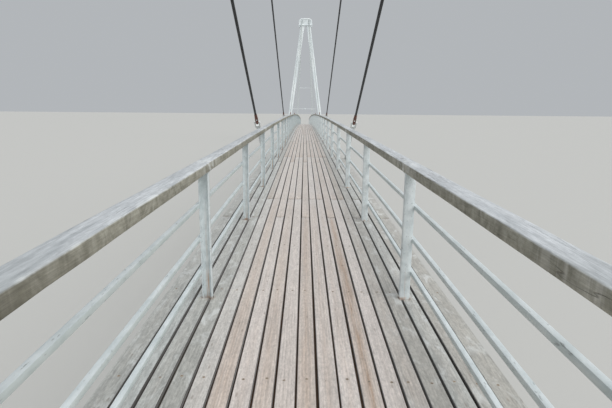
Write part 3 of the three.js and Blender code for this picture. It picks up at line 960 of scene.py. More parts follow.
@dataclass(frozen=True)
class DeckLine:
    """The boards' upper face: straight chords between points of a flat parabola."""

    half_span: float = 55.0
    overrun: float = 0.1
    end_height: float = 3.0
    camber: float = 1.1
    chord: float = CHORD
    bay: float = POST_BAY
    frame_top: float = -0.053
    joist_spacing: float = 1.25
    joist_offset: float = 0.137
    joist_skew: float = 0.03

    @property
    def half_deck(self) -> float:
        """Distance from the middle to the deck's end."""
        return self.half_span + self.overrun

    def parabola(self, y: np.ndarray) -> np.ndarray:
        """Height of the parabola."""
        return self.end_height + self.camber * (1 - (y / self.half_span) ** 2)

    def top(self, y: float | np.ndarray) -> np.ndarray:
        """Height of the boards' upper face.

        Args:
            y: A place along the bridge, or several.

        Returns:
            The height there.
        """
        y = np.asarray(y, float)
        start = np.clip(np.floor(y / self.chord) * self.chord, -self.half_span, self.half_span - self.chord)
        share = (y - start) / self.chord
        return self.parabola(start) * (1 - share) + self.parabola(start + self.chord) * share

    def under(self, y: float) -> float:
        """Height of the frame's upper face, under the boards."""
        return float(self.top(y)) + self.frame_top

    def stations(self, start: float, stop: float, step: float) -> np.ndarray:
        """Places along the bridge.

        Args:
            start: The first.
            stop: The last.
            step: Between them lie the whole multiples of this.

        Returns:
            The places in order.
        """
        first = math.floor(start / step) + 1
        last = math.ceil(stop / step) - 1
        return np.array([start, *(step * i for i in range(first, last + 1)), stop])

    def posts(self, start: float, stop: float) -> list[float]:
        """Places of the posts from start to stop."""
        count = round(self.half_span / self.bay)
        return [self.bay * i for i in range(-count, count + 1) if start <= self.bay * i <= stop]

    def ring(self, section: Section, y: float, x: float = 0.0, rise: float | np.ndarray = 0.0) -> np.ndarray:
        """An outline's ring of points at one place.

        Args:
            section: The outline in x and height above deck.
            y: The place.
            x: How far it is shifted across.
            rise: How far it is raised, one value for all its points or one for each.

        Returns:
            The ring.
        """
        ring = np.insert(section, 1, y, axis=1)
        ring[:, 0] += x
        ring[:, 2] += self.top(y) + rise
        return ring


LINE = DeckLine()


# Walkway.


@dataclass(frozen=True)
class Bed:
    """Where a board lies: from x0 to x1 across the walkway and from y0 to y1 along it."""

    x0: float
    x1: float
    y0: float
    y1: float

    @property
    def middle(self) -> float:
        """The board's centre line."""
        return (self.x0 + self.x1) / 2


@dataclass
class Walkway:
    """Boards lengthways, with staggered joints over the joists that they are screwed to."""

    finishes: Finishes
    width: float = 2.308
    thickness: float = 0.05
    inner_pitch: float = 0.1176
    outer_pitch: float = 0.125
    inner_gaps: int = 6
    inner_gap: float = 0.0138
    outer_widths: tuple[float, ...] = (0.018, 0.015, 0.012)
    arris: float = 0.003
    end_gap: float = 0.002
    panel_joints: tuple[float, ...] = (-25.0, 0.0, 25.0)
    hole_x: Span = (0.752, 0.838)
    hole_half: float = 0.0255
    saw_step: float = 0.001
    ring_places: Point = (0.7, 0.5, 0.83)
    sink: Span = (0.0, 0.0018)
    shift: Span = (-0.0012, 0.0014)
    wave: Span = (0.0004, 0.0014)
    wave_turn: float = 1.1
    hollow: float = 0.0004
    board_length: float = 6.25
    staggers: tuple[float, ...] = (0.137, 1.387, 1.387)
    screw_radius: float = 0.005
    screw_dish: tuple[Span, ...] = ((1, -0.003), (1, 0.0002), (0.9, 0.0009), (0.42, 0.0006), (0.26, -0.001))
    screw_inset: float = 0.03
    screw_sink: float = 0.0012
    screw_clear: float = 0.2
    screw_wander: float = 0.014
    stain_radius: float = 0.0095
    stain_disc: tuple[Span, ...] = ((1, -0.003), (1, 0.0003))
    dirt_shade_top: float = -0.024
    dirt_shade_bottom: float = -0.048
    dirt_shade_rise: Span = (-0.005, 0.004)
    dirt_shade_lap: float = 0.003
    dirt_shade_clear: float = 0.04
    dirt_shade_shortest: float = 0.2
    dirt_shade_step: float = 0.5
    grey_from: float = 0.5
    grey_reach: float = 0.22
    grey_wander: float = 0.15
    grey_cools: float = 0.7
    walked_tones: Span = (0.0, 1.0)
    left_tones: Span = (0.1, 1.0)
    right_tones: Span = (0.0, 0.55)
    warm_share: float = 0.2
    warm: Span = (0.4, 0.8)
    cool: Span = (0.05, 0.35)
    streaked_board: tuple[int, float] = (12, -27.5)
    streaked_look: Span = (0.4, 1.0)
    beside_streak: float = 0.5
    seed_reach: float = 40.0
    seed: int = 11
    tone_seed: int = 327235
    rng: np.random.Generator = field(init=False)
    tones: np.random.Generator = field(init=False)

    def __post_init__(self) -> None:
        """Sets up the seeded draws."""
        self.rng = np.random.default_rng(self.seed)
        self.tones = np.random.default_rng(self.tone_seed)

    def gaps(self) -> list[Span]:
        """The gaps between the boards.

        Returns:
            Centre line and half width of each, from left to right.
        """
        inner = (np.arange(self.inner_gaps) + 0.5) * self.inner_pitch
        outer = inner[-1] + np.arange(1, len(self.outer_widths) + 1) * self.outer_pitch
        widths = [*[self.inner_gap] * self.inner_gaps, *self.outer_widths]
        right = [(x, width / 2) for x, width in zip([*inner, *outer], widths)]
        return [*((-x, half) for x, half in reversed(right)), *right]

    def columns(self) -> list[Span]:
        """Edges of each column of boards from left to right."""
        edges = [-self.width / 2, *(x + i * half for x, half in self.gaps() for i in SIGNS), self.width / 2]
        return list(zip(edges[::2], edges[1::2]))

    def notch(self, bed: Bed, y: float) -> Span:
        """Edges of a board at one place, with the hole of a post cut out of them.

        Args:
            bed: Where the board lies.
            y: The place.

        Returns:
            Left and right edge there.
        """
        if abs(y - round(y / LINE.bay) * LINE.bay) <= self.hole_half + TINY:
            for side in Side:
                low, high = sorted(side.value * x for x in self.hole_x)
                if bed.x0 < low < bed.x1:
                    return bed.x0, low
                if bed.x0 < high < bed.x1:
                    return high, bed.x1
        return bed.x0, bed.x1

    def places(self, bed: Bed) -> list[float]:
        """Where along a board its rings of points are.

        Args:
            bed: Where the board lies.

        Returns:
            The places in order, with the deck's bends and the notches' edges.
        """
        first, last, step = self.ring_places
        inside = [bed.y0 + self.arris, *np.arange(bed.y0 + first, bed.y1 - last, step), bed.y1 - self.arris]
        inside += list(LINE.stations(bed.y0, bed.y1, LINE.chord)[1:-1])
        if self.notch(bed, 0.0) != (bed.x0, bed.x1):
            for post in LINE.posts(bed.y0 - LINE.bay / 2, bed.y1 + LINE.bay / 2):
                for sign in SIGNS:
                    inside += [post + sign * self.hole_half, post + sign * (self.hole_half + self.saw_step)]
        return sorted({bed.y0, bed.y1, *(y for y in inside if bed.y0 < y < bed.y1)})

    def board(self, bed: Bed) -> Form:
        """One board.

        Args:
            bed: Where it lies.

        Returns:
            The board, with eased edges, slightly uneven and notched at the posts.
        """
        a, low = self.arris, -self.thickness
        sink = self.rng.uniform(*self.sink)
        shift0, shift1 = self.rng.uniform(*self.shift, 2)
        wave, phase = self.rng.uniform(*self.wave), self.rng.uniform(0, math.tau)
        rings = []
        for y in self.places(bed):
            left, right = self.notch(bed, y)
            bend = wave * math.sin(self.wave_turn * y + phase)
            left += bend + shift0 if left == bed.x0 else 0.0
            right += bend + shift1 if right == bed.x1 else 0.0
            top = -sink - (a * 0.5 if y in (bed.y0, bed.y1) else 0.0)
            section = np.array([
                (left + a, low), (right - a, low), (right, low + a), (right, top - a), (right - a, top),
                ((left + right) / 2, top - self.hollow), (left + a, top), (left, top - a), (left, low + a),
            ])
            rings.append(LINE.ring(section, y))
        return loft(rings)

    def screw_places(self, bed: Bed) -> list[Span]:
        """Where the screws of one board are: near its ends and over each joist.

        Args:
            bed: Where the board lies.

        Returns:
            Pairs of x and y.
        """
        near, far = bed.y0 + self.screw_inset, bed.y1 - self.screw_inset
        start, stop = (y - LINE.joist_offset for y in (bed.y0 + self.screw_clear, bed.y1 - self.screw_clear))
        between = LINE.stations(start, stop, LINE.joist_spacing)[1:-1] + LINE.joist_offset
        result = []
        for y in (near, *between, far):
            if self.notch(bed, y) != (bed.x0, bed.x1):
                y += 2 * self.screw_inset
            dx, dy = self.rng.uniform(-self.screw_wander, self.screw_wander, 2)
            x = bed.middle + dx
            if near < y < far:
                y -= LINE.joist_skew * x
            result.append((x, y + dy))
        return result

    def screw(self) -> tuple[Form, Form]:
        """A screw.

        Returns:
            Its dished head and the dark wood round it, standing on height 0.
        """
        head = stepped(self.screw_radius, 0.0, self.screw_dish, 8)
        stain = stepped(self.stain_radius, 0.0, self.stain_disc, 9)
        return head.laid(UPRIGHT, ORIGIN), stain.laid(UPRIGHT, ORIGIN)

    def dirt_shade_strips(self, y0: float, y1: float) -> list[Form]:
        """The packed dirt in the gaps along one chord, clear of the posts, which also stands in for the shade
        in the gaps.

        Args:
            y0: The chord's near end.
            y1: Its far end.

        Returns:
            The strips.
        """
        strips = []
        for x, gap_half in self.gaps():
            posts = LINE.posts(y0, y1) if self.hole_x[0] < abs(x) < self.hole_x[1] else []
            edges = [y0, *(post + sign * self.dirt_shade_clear for post in posts for sign in SIGNS), y1]
            half, low = gap_half + self.dirt_shade_lap, self.dirt_shade_bottom
            for start, stop in zip(edges[::2], edges[1::2]):
                if stop - start < self.dirt_shade_shortest:
                    continue
                rings = []
                for y in LINE.stations(start, stop, self.dirt_shade_step):
                    top = self.dirt_shade_top + self.rng.uniform(*self.dirt_shade_rise)
                    section = np.array([(-half, low), (half, low), (half, top), (-half, top)])
                    rings.append(LINE.ring(section, y, x))
                strips.append(loft(rings))
        return strips

    def paint(self, index: int, bed: Bed) -> dict[str, float]:
        """What is painted on one board.

        Args:
            index: The board's number from the left.
            bed: Where it lies.

        Returns:
            Its tone, greyness, warmth and seed.
        """
        off = abs(bed.x0 + bed.x1) / 2
        wander = self.tones.uniform(-self.grey_wander, self.grey_wander)
        grey = min(max((off - self.grey_from) / self.grey_reach + wander, 0.0), 1.0)
        # Grey boards on the right get darker tones: painted shade of the right railing.
        side_tones = self.left_tones if bed.x0 < 0 else self.right_tones
        tone = self.tones.uniform(*(self.walked_tones if grey < 0.5 else side_tones))
        warmth = self.warm if self.tones.random() < self.warm_share else self.cool
        warm = self.tones.uniform(*warmth)
        column, place = self.streaked_board
        if bed.y0 < place < bed.y1:
            beside = (tone, min(warm, self.beside_streak))
            tone, warm = self.streaked_look if index == column else beside
        warm *= 1 - self.grey_cools * grey
        seed = self.tones.uniform(0, self.seed_reach)
        return {"tone": tone, "grey": grey, "warm": warm, "seed": seed}

    def lengths(self, index: int, middle: float) -> list[Span]:
        """Ends of the boards of one column, with joints over the joists and staggered.

        Args:
            index: The column's number from the left.
            middle: The column's centre line.

        Returns:
            Near and far end of each board.
        """
        shift = self.staggers[index % len(self.staggers)]
        ends = LINE.stations(-LINE.half_deck - shift, LINE.half_deck - shift, self.board_length) + shift
        for inner, first, second in ((1, 1, 0), (-2, -1, -2)):
            if ends[first] - ends[second] < LINE.joist_spacing / 2:
                ends = np.delete(ends, inner)
        ends[1:-1] -= LINE.joist_skew * middle
        return list(zip(ends, ends[1:]))

    def build(self) -> None:
        """Makes the four deck panels."""
        edges = [-LINE.half_deck, *self.panel_joints, LINE.half_deck]
        f = self.finishes
        looks = (f.deck_timber, f.screw, f.packed_dirt_and_shade, f.screw_stain)
        pieces = [
            Piece("deck_boards", "deck_panel", str(number), Slot.DECK_TIMBER, *looks)
            for number in range(1, len(edges))
        ]
        head, stain = self.screw()
        for index, (x0, x1) in enumerate(self.columns()):
            for y0, y1 in self.lengths(index, (x0 + x1) / 2):
                piece = pieces[int(np.searchsorted(self.panel_joints, (y0 + y1) / 2))]
                bed = Bed(x0, x1, y0 + self.end_gap / 2, y1 - self.end_gap / 2)
                values = self.paint(index, bed)
                form = self.board(bed)
                x, y = form.points[:, 0], form.points[:, 1]
                core = 1 - np.abs(x - bed.middle) / ((x1 - x0) / 2)
                piece.add(form, from_end=np.minimum(y - bed.y0, bed.y1 - y), core=core, **values)
                for x, y in self.screw_places(bed):
                    z = LINE.top(y) - self.screw_sink
                    piece.add(head.moved(x, y, z), finish=1)
                    piece.add(stain.moved(x, y, z), finish=3)
        for piece, start, stop in zip(pieces, edges, edges[1:]):
            chords = LINE.stations(start, stop, LINE.chord)
            for y0, y1 in zip(chords, chords[1:]):
                piece.add(*self.dirt_shade_strips(y0, y1), finish=2)
            piece.make()


@dataclass
class DeckFrame:
    """Rolled girders under the posts, with cross beams, joists, stiffeners and splices."""

    finishes: Finishes
    girder_x: float = POST_X
    girder: Span = (0.14, 0.3)
    beam: Span = (0.12, 0.2)
    flange: float = 0.012
    web: float = 0.009
    joist: tuple[Span, float, float] = ((0.05, 0.08), 0.006, 0.005)
    beam_length: float = 2.2
    anchor_beam_length: float = 2.56
    joist_length: float = 2.2
    bar_drop: float = 0.001
    joints: tuple[float, ...] = (-16.25, 16.25)
    joint_gap: float = GAP
    reaches: tuple[float, ...] = (7.5, 22.5, 37.5, 52.5)
    arris: float = 0.002
    stiffener: Span = (0.012, 0.004)
    seat_x: float = 1.204
    seat: Point = (0.148, 0.2, 0.016)
    seat_rib: Point = (0.14, 0.014, 0.19)
    rib_y: float = 0.04
    rib_top: float = 0.014
    splice: Point = (0.012, 0.42, 0.19)
    splice_arris: float = 0.003
    bolt: Span = (0.03, 0.02)
    bolt_y: tuple[float, ...] = (-0.16, -0.06, 0.06, 0.16)
    bolt_z: float = 0.055

    def cross_bar(self, outline: Section, length: float, y: float) -> Form:
        """A bar across the bridge under the boards, from its outline in y and height."""
        bar = drawn(outline, -length / 2, length / 2, Along.X)
        return bar.moved(0, y, LINE.under(y) - self.bar_drop)

    def stiffeners(self, y: float) -> list[Form]:
        """Plates between a girder's flanges, on both sides of its web.

        Args:
            y: Place of the cross beam that they stand at.

        Returns:
            The plates of both girders.
        """
        thick, inset = self.stiffener
        inner, outer = self.web / 2, self.girder[0] / 2 - inset
        top = LINE.under(y) - self.flange
        heights = (top - self.girder[1] + 2 * self.flange, top)
        half = ((outer - inner) / 2, thick / 2)
        return [
            pad((side.value * self.girder_x + out * (inner + outer) / 2, y), half, heights, self.arris)
            for side in Side for out in SIGNS
        ]

    def splices(self, y: float) -> list[Form]:
        """Bolted plates over a joint of the girders.

        Args:
            y: The joint's place.

        Returns:
            The plates and bolts of both girders.
        """
        thick, length, depth = self.splice
        middle = LINE.under(y) - self.girder[1] / 2
        nut = hexagon_nut(*self.bolt)
        forms = []
        for side in Side:
            for out in SIGNS:
                x = side.value * self.girder_x + out * self.web / 2
                heights = (middle - depth / 2, middle + depth / 2)
                half = (thick / 2, length / 2)
                forms.append(pad((x + out * thick / 2, y), half, heights, self.splice_arris))
                for dy in self.bolt_y:
                    for dz in (-self.bolt_z, self.bolt_z):
                        start = np.array([x + out * thick, y + dy, middle + dz])
                        forms.append(nut.laid(facing(Along.X, out), start))
        return forms

    def seats(self, y: float) -> list[Form]:
        """Plates with ribs that carry a pair of stays at the ends of a cross beam.

        Args:
            y: The beam's place.

        Returns:
            The plates and ribs.
        """
        top = LINE.under(y)
        forms = []
        for side in Side:
            x = side.value * self.seat_x
            wide, long, thick = self.seat
            forms.append(pad((x, y), (wide / 2, long / 2), (top - thick, top), self.arris))
            wide, long, deep = self.seat_rib
            for sign in SIGNS:
                centre = (x, y + sign * self.rib_y)
                forms.append(pad(centre, (wide / 2, long / 2), (top - deep, top - self.rib_top), self.arris))
        return forms

    def build(self) -> None:
        """Makes the three lengths of the frame."""
        edges = [-LINE.half_deck, *self.joints, LINE.half_deck]
        anchors = [end.value * (LINE.half_span - reach) for end in End for reach in self.reaches]
        girder = beam_outline(self.girder, self.flange, self.web)
        beam = beam_outline(self.beam, self.flange, self.web)
        joist = beam_outline(*self.joist)
        for number, label in enumerate(("near", "middle", "far")):
            start = edges[number] + (self.joint_gap / 2 if number > 0 else 0.0)
            stop = edges[number + 1] - (self.joint_gap / 2 if number < 2 else 0.0)
            piece = Piece(
                "deck_frame_steel", "deck_frame", label, Slot.FRAME_STEEL, self.finishes.frame_steel,
            )
            for side in Side:
                x = side.value * self.girder_x
                chords = LINE.stations(start, stop, LINE.chord)
                piece.add(loft([LINE.ring(girder, y, x, LINE.frame_top) for y in chords]))
            for y in LINE.stations(start, stop, LINE.joist_spacing)[1:-1] + LINE.joist_offset:
                if start + LINE.joist_offset < y < stop - LINE.joist_offset:
                    bar = self.cross_bar(joist, self.joist_length, y)
                    bar.points[:, 1] -= LINE.joist_skew * bar.points[:, 0]
                    piece.add(bar)
            for y in LINE.stations(start, stop, LINE.bay)[1:-1]:
                anchored = any(abs(y - anchor) < TINY for anchor in anchors)
                if anchored:
                    piece.add(self.cross_bar(beam, self.anchor_beam_length, y), *self.seats(y))
                elif abs(y / LINE.chord - round(y / LINE.chord)) < TINY:
                    piece.add(self.cross_bar(beam, self.beam_length, y))
                else:
                    continue
                piece.add(*self.stiffeners(y))
            if label == "middle":
                for y in self.joints:
                    piece.add(*self.splices(y))
            piece.make()


# Railings.


@dataclass
class Railings:
    """Channel posts with three square rails welded outside them."""

    finishes: Finishes
    post_x: float = POST_X
    post_width: float = 0.08
    post_depth: float = 0.045
    post_web: float = 0.006
    post_flange: float = 0.008
    post_levels: tuple[float, ...] = (-0.05, 0.0, 0.05, 0.2, 0.45, 0.8)
    corner: float = 0.006
    edge: float = 0.002
    clearance: float = 0.004
    rail_size: float = 0.032
    rail_heights: tuple[float, ...] = (0.221, 0.488, 0.755)
    rail_weld: float = 0.003
    rail_arris: float = 0.004
    rail_wander: float = 0.0007
    gap: float = GAP
    under_handrail: float = 1.028
    head_plate: Point = (0.1, 0.07, 0.006)
    plate_arris: float = 0.0015
    bead: float = 0.0035
    bead_inset: float = 0.003
    bead_tip: float = 0.4
    bead_sides: int = 6
    rust: Span = (1.0, 0.25)
    seed_reach: float = 30.0
    seed: int = 23

    def channel(self) -> Section:
        """A post's outline.

        Returns:
            Its points in x and y, open towards -Y.
        """
        o, b, c, e = self.post_width / 2, self.post_depth / 2, self.corner, self.edge
        i, w = o - self.post_flange, b - self.post_web
        return np.array([
            (-o, -b + e), (-o + e, -b), (-i, -b), (-i, w - c), (-i + c, w), (i - c, w), (i, w - c), (i, -b),
            (o - e, -b), (o, -b + e), (o, b - c), (o - c * 0.3, b - c * 0.3), (o - c, b), (-o + c, b),
            (-o + c * 0.3, b - c * 0.3), (-o, b - c),
        ])

    def post(self, side: Side, y: float) -> Form:
        """One post from the girder up to its head plate.

        Args:
            side: The post's side.
            y: Its place.

        Returns:
            The post.
        """
        outline = self.channel() * (-side.value)
        high = self.under_handrail - self.head_plate[2]
        levels = [LINE.frame_top + self.clearance, *self.post_levels, high]
        form = loft([np.insert(outline, 2, z, axis=1) for z in levels])
        return form.moved(side.value * self.post_x, y, LINE.top(y))

    def fittings(self, side: Side, y: float) -> list[Form]:
        """A post's head plate, and the weld beads above and below each rail.

        Args:
            side: The post's side.
            y: Its place.

        Returns:
            The plate and the beads.
        """
        width, depth, thick = self.head_plate
        x, z = side.value * self.post_x, LINE.top(y)
        top = z + self.under_handrail
        plate = pad((x, y), (width / 2, depth / 2), (top - thick, top), self.plate_arris)
        b, reach = self.bead, self.post_depth / 2 - self.bead_inset
        tip = b * self.bead_tip
        bar = turned([(tip, -reach), (b, b - reach), (b, reach - b), (tip, reach)], self.bead_sides)
        x += side.value * self.post_width / 2
        beads = [
            bar.moved(x, y, z + height + sign * self.rail_size / 2)
            for height in self.rail_heights for sign in SIGNS
        ]
        return [plate, *beads]

    def rail(self, side: Side, height: float, ends: Span, rng: np.random.Generator) -> Form:
        """One rail of half the bridge, slightly uneven.

        Args:
            side: Its side.
            height: Height of its centre line above deck.
            ends: Near and far end.
            rng: Seeded draws.

        Returns:
            The rail.
        """
        half = self.rail_size / 2
        x = side.value * (self.post_x + self.post_width / 2 + half - self.rail_weld)
        section = eased((-half, half), (-half, half), self.rail_arris, 2)
        rings = []
        for y in LINE.stations(*ends, LINE.bay / 2):
            dx, dz = rng.uniform(-self.rail_wander, self.rail_wander, 2)
            rings.append(LINE.ring(section, y, x + dx, height + dz))
        return loft(rings)

    def build(self) -> None:
        """Makes the four railings."""
        rng = np.random.default_rng(self.seed)
        half_post = self.post_depth / 2
        last = LINE.half_span + half_post
        halves = {End.NEAR: (-last, -half_post - self.gap), End.FAR: (-half_post, last)}
        for side, rusty in zip(Side, self.rust):
            for half, ends in halves.items():
                piece = Piece(
                    "railing_steel", "railing", f"{side.label}_{half.label}", Slot.RAILING_STEEL,
                    self.finishes.railing_steel,
                )
                for y in LINE.posts(*ends):
                    form = self.post(side, y)
                    height = form.points[:, 2] - LINE.top(y)
                    seed = rng.uniform(0, self.seed_reach)
                    piece.add(form, height=height, rusty=rusty, post=1.0, seed=seed)
                    piece.add(*self.fittings(side, y), height=1.0, seed=seed)
                for height in self.rail_heights:
                    rail = self.rail(side, height, ends, rng)
                    piece.add(rail, height=1.0, seed=rng.uniform(0, self.seed_reach))
                piece.make()


@dataclass
class Handrails:
    """Timber bars in five metre lengths on the posts' heads."""

    finishes: Finishes
    x: float = POST_X
    top: float = 1.1
    width: float = 0.118
    depth: float = 0.072
    arris: float = 0.01
    wear: Span = (-0.0025, 0.003)
    lean: float = 0.0012
    sink: Span = (0.0, 0.0015)
    wander: float = 0.0009
    end_steps: Span = (0.004, 0.02)
    draw_in: float = 0.003
    joint_gap: float = 0.004
    first_joint: float = 2.5
    middle_gap: float = GAP
    station_step: float = 0.25
    dark_place: float = -30.15
    dark_reach: float = 0.42
    dark_strength: Span = (0.1, 0.6)
    tone_reach: float = 0.5
    seed_reach: float = 40.0
    sharp: float = 50.0
    seed: int = 37

    def bar(self, side: Side, start: float, stop: float, rng: np.random.Generator) -> Form:
        """One length of handrail, with worn edges.

        Args:
            side: Its side.
            start: Near end.
            stop: Far end.
            rng: Seeded draws.

        Returns:
            The bar.
        """
        half, (short, long) = self.width / 2, self.end_steps
        lean, sink = rng.uniform(-self.lean, self.lean), rng.uniform(*self.sink)
        inside = LINE.stations(start + long, stop - long, self.station_step)
        rings = []
        for y in (start, start + short, *inside, stop - short, stop):
            worn = self.arris + rng.uniform(*self.wear)
            dx = rng.uniform(-self.wander, self.wander)
            d = self.draw_in if y in (start, stop) else 0.0
            heights = (self.top - self.depth + d, self.top - sink - d)
            section = eased((-half + d, half - d), heights, worn, 3)
            rings.append(LINE.ring(section, y, side.value * self.x + dx, lean * section[:, 0] / half))
        return loft(rings)

    def build(self) -> None:
        """Makes the four handrails."""
        rng = np.random.default_rng(self.seed)
        soil = np.random.default_rng(self.seed + 1)
        outer = np.arange(self.first_joint, LINE.half_span, LINE.chord)
        far = [self.middle_gap / 2, *outer, LINE.half_deck]
        halves = {End.NEAR: [-y for y in reversed(far)], End.FAR: far}
        # Per side: the damp, the pale drips, and a shift of the tops' tone that makes the right tops paler,
        # painted light from the right.
        stains = {Side.LEFT: (1.0, 0.15, 0.0), Side.RIGHT: (0.0, 0.8, 0.5)}
        for side, (damp, drips, pale) in stains.items():
            for half, edges in halves.items():
                piece = Piece(
                    "handrail_timber", "handrail", f"{side.label}_{half.label}", Slot.HANDRAIL_TIMBER,
                    self.finishes.handrail_timber,
                )
                last = len(edges) - 2
                for i, (start, stop) in enumerate(zip(edges, edges[1:])):
                    start += self.joint_gap / 2 if i > 0 else 0.0
                    stop -= self.joint_gap / 2 if i < last else 0.0
                    form = self.bar(side, start, stop, rng)
                    place, strength = soil.uniform(start, stop), soil.uniform(*self.dark_strength)
                    if start < self.dark_place < stop:
                        place, strength = self.dark_place, 1.0
                    dark = strength * np.exp(-((form.points[:, 1] - place) / self.dark_reach) ** 2)
                    tone = pale + rng.uniform(0, self.tone_reach)
                    seed = rng.uniform(0, self.seed_reach)
                    piece.add(form, tone=tone, damp=damp, drips=drips, dark=dark, seed=seed)
                piece.make(self.sharp)


# Pylons.


@dataclass
class Pylons:
    """Two A-shaped pylons: leaning box legs, a helmet-shaped head and a tie over the walkway."""

    finishes: Finishes
    leg_x: float = 3.03
    leg_lean: float = 0.1424
    leg_width: float = 0.6
    leg_widening: float = 0.0082
    leg_depth: float = 0.8
    leg_corner: float = 0.04
    leg_step: float = 1.5
    seam_spacing: float = 3.0
    seam_clear: float = 1.0
    seam: tuple[Span, ...] = ((-0.014, 0.0), (-0.006, 0.005), (0.006, 0.005), (0.014, 0.0))
    footing: Point = (1.2, 1.5, 0.6)
    footing_arris: float = 0.02
    bearing_gap: float = GAP
    base_plate: Point = (1.0, 1.24, 0.045)
    plate_arris: float = 0.006
    base_bolt: Span = (0.062, 0.05)
    bolt_rows: tuple[tuple[float, float], ...] = ((0.43, 0.54), (0.15, 0.54), (0.43, 0.2))
    gusset: Point = (0.02, 0.2, 0.34)
    gusset_x: tuple[float, ...] = (-0.2, 0.0, 0.2)
    gusset_half: float = 0.01
    head_bottom: float = 17.58
    head_top: float = 18.79
    head_width: float = 2.36
    head_depth: float = 1.0
    head_corner: float = 0.62
    corner_steps: int = 8
    cheek_drop: float = 0.25
    cheek: float = 0.16
    collar_height: float = 0.15
    collar_reach: float = 0.03
    collar_bolt: Span = (0.05, 0.035)
    collar_bolts: tuple[float, int] = (1.05, 8)
    recess_border: float = 0.16
    recess_depth: float = 0.05
    sunk_share: float = 0.7
    pocket_x: float = 0.62
    pocket_width: float = 0.3
    pocket_depth: float = 0.05
    pocket_heights: Span = (17.84, 18.5)
    cut_past: float = 0.2
    cut_arris: float = 0.001
    edge_round: float = 0.022
    round_steps: int = 2
    sharp: float = 40.0
    tie_height: float = 3.0
    tie_radius: float = 0.03
    tie_flange: Point = (0.075, 0.02, 0.022)
    knob_radius: float = 0.13
    knob_steps: int = 10

    def centre(self, height: float) -> float:
        """Distance of a leg's centre line from the middle, by its height above the ends."""
        return self.leg_x - self.leg_lean * height

    def half_width(self, height: float) -> float:
        """Half a leg's width, by its height above the ends."""
        return (self.leg_width + self.leg_widening * height) / 2

    def leg_ring(self, side: Side, end: End, z: float, proud: float) -> np.ndarray:
        """Outline of a leg at one height.

        Args:
            side: The leg's side.
            end: The leg's end of the bridge.
            z: The height above the ground.
            proud: How far it stands out from the leg's faces.

        Returns:
            The ring.
        """
        height = z - LINE.end_height
        half, depth = self.half_width(height) + proud, self.leg_depth / 2 + proud
        ring = np.insert(eased((-half, half), (-depth, depth), self.leg_corner, 3), 2, z, axis=1)
        return ring + np.array([side.value * self.centre(height), end.value * LINE.half_span, 0.0])

    def leg(self, side: Side, end: End) -> None:
        """Makes one leg with its weld seams and its foot.

        Args:
            side: The leg's side.
            end: The leg's end of the bridge.
        """
        tag = f"{end.label}_{side.label}"
        piece = Piece("pylon_leg_steel", "pylon_leg", tag, Slot.PYLON_PAINT, self.finishes.pylon_paint)
        low = self.footing[2] + self.bearing_gap
        high = LINE.end_height + self.head_bottom - self.bearing_gap
        levels = [*np.arange(low, high, self.leg_step), high]
        piece.add(loft([self.leg_ring(side, end, z, 0.0) for z in levels]))
        for z in np.arange(low + self.seam_spacing, high - self.seam_clear, self.seam_spacing):
            piece.add(loft([self.leg_ring(side, end, z + dz, proud) for dz, proud in self.seam]))
        x = side.value * self.centre(low - LINE.end_height)
        piece.add(*self.foot(x, end.value * LINE.half_span, low))
        piece.make()

    def foot(self, x: float, y: float, low: float) -> list[Form]:
        """A leg's base plate with gussets and bolts.

        Args:
            x: The leg's centre.
            y: Its place along the bridge.
            low: Height of the plate's underside.

        Returns:
            The plate, the bolts and the gussets.
        """
        wide, long, thick = self.base_plate
        top = low + thick
        nut = hexagon_nut(*self.base_bolt)
        forms = [pad((x, y), (wide / 2, long / 2), (low, top), self.plate_arris)]
        for dx, dy in self.bolt_rows:
            forms += [nut.moved(x + i * dx, y + j * dy, top) for i in SIGNS for j in SIGNS]
        lap, reach, tall = self.gusset
        for out in SIGNS:
            y0 = y + out * self.leg_depth / 2
            outline = np.array([(y0 - out * lap, top), (y0 + out * reach, top), (y0 - out * lap, top + tall)])
            for dx in self.gusset_x:
                forms.append(drawn(outline, x + dx - self.gusset_half, x + dx + self.gusset_half, Along.X))
        return forms

    def head_outline(self, border: float, bottom: float) -> Section:
        """The head's outline in x and height, with round upper corners.

        Args:
            border: How far it is drawn in.
            bottom: Height of its flat lower edge.

        Returns:
            The outline.
        """
        half = self.head_width / 2 - border
        top = LINE.end_height + self.head_top - border
        corner = self.head_corner - border
        points = [(-half, bottom), (half, bottom)]
        for centre_x, first in ((half - corner, 0), (-half + corner, 90)):
            for step in range(self.corner_steps + 1):
                angle = math.radians(first + 90 * step / self.corner_steps)
                points.append((centre_x + corner * math.cos(angle), top - corner + corner * math.sin(angle)))
        return np.array(points)

    def solid(self, form: Form) -> bpy.types.Object:
        """A plain object for joining and cutting.

        Args:
            form: Its shape.

        Returns:
            The object.
        """
        mesh = bpy.data.meshes.new("blank")
        mesh.from_pydata(form.points * SCALE, [], form.faces)
        thing = bpy.data.objects.new("blank", mesh)
        bpy.context.scene.collection.objects.link(thing)
        return thing

    def worked(self, blank: Form, tools: list[tuple[str, Form]]) -> Form:
        """Joins and cuts a blank, and rounds its edges.

        Args:
            blank: The form to work on.
            tools: Pairs of what is done and the form it is done with.

        Returns:
            The worked form.
        """
        body = self.solid(blank)
        things = [body]
        for operation, form in tools:
            things.append(self.solid(form))
            step = body.modifiers.new(operation, "BOOLEAN")
            step.operation = operation
            step.solver = "EXACT"
            step.object = things[-1]
        rounding = body.modifiers.new("rounding", "BEVEL")
        rounding.width = self.edge_round * SCALE
        rounding.segments = self.round_steps
        rounding.limit_method = "ANGLE"
        rounding.angle_limit = math.radians(self.sharp)
        mesh = body.evaluated_get(bpy.context.evaluated_depsgraph_get()).to_mesh()
        points = np.array([v.co for v in mesh.vertices]) / SCALE
        faces = [tuple(p.vertices) for p in mesh.polygons]
        for thing in things:
            data = thing.data
            bpy.data.objects.remove(thing)
            bpy.data.meshes.remove(data)
        return Form(points, faces)

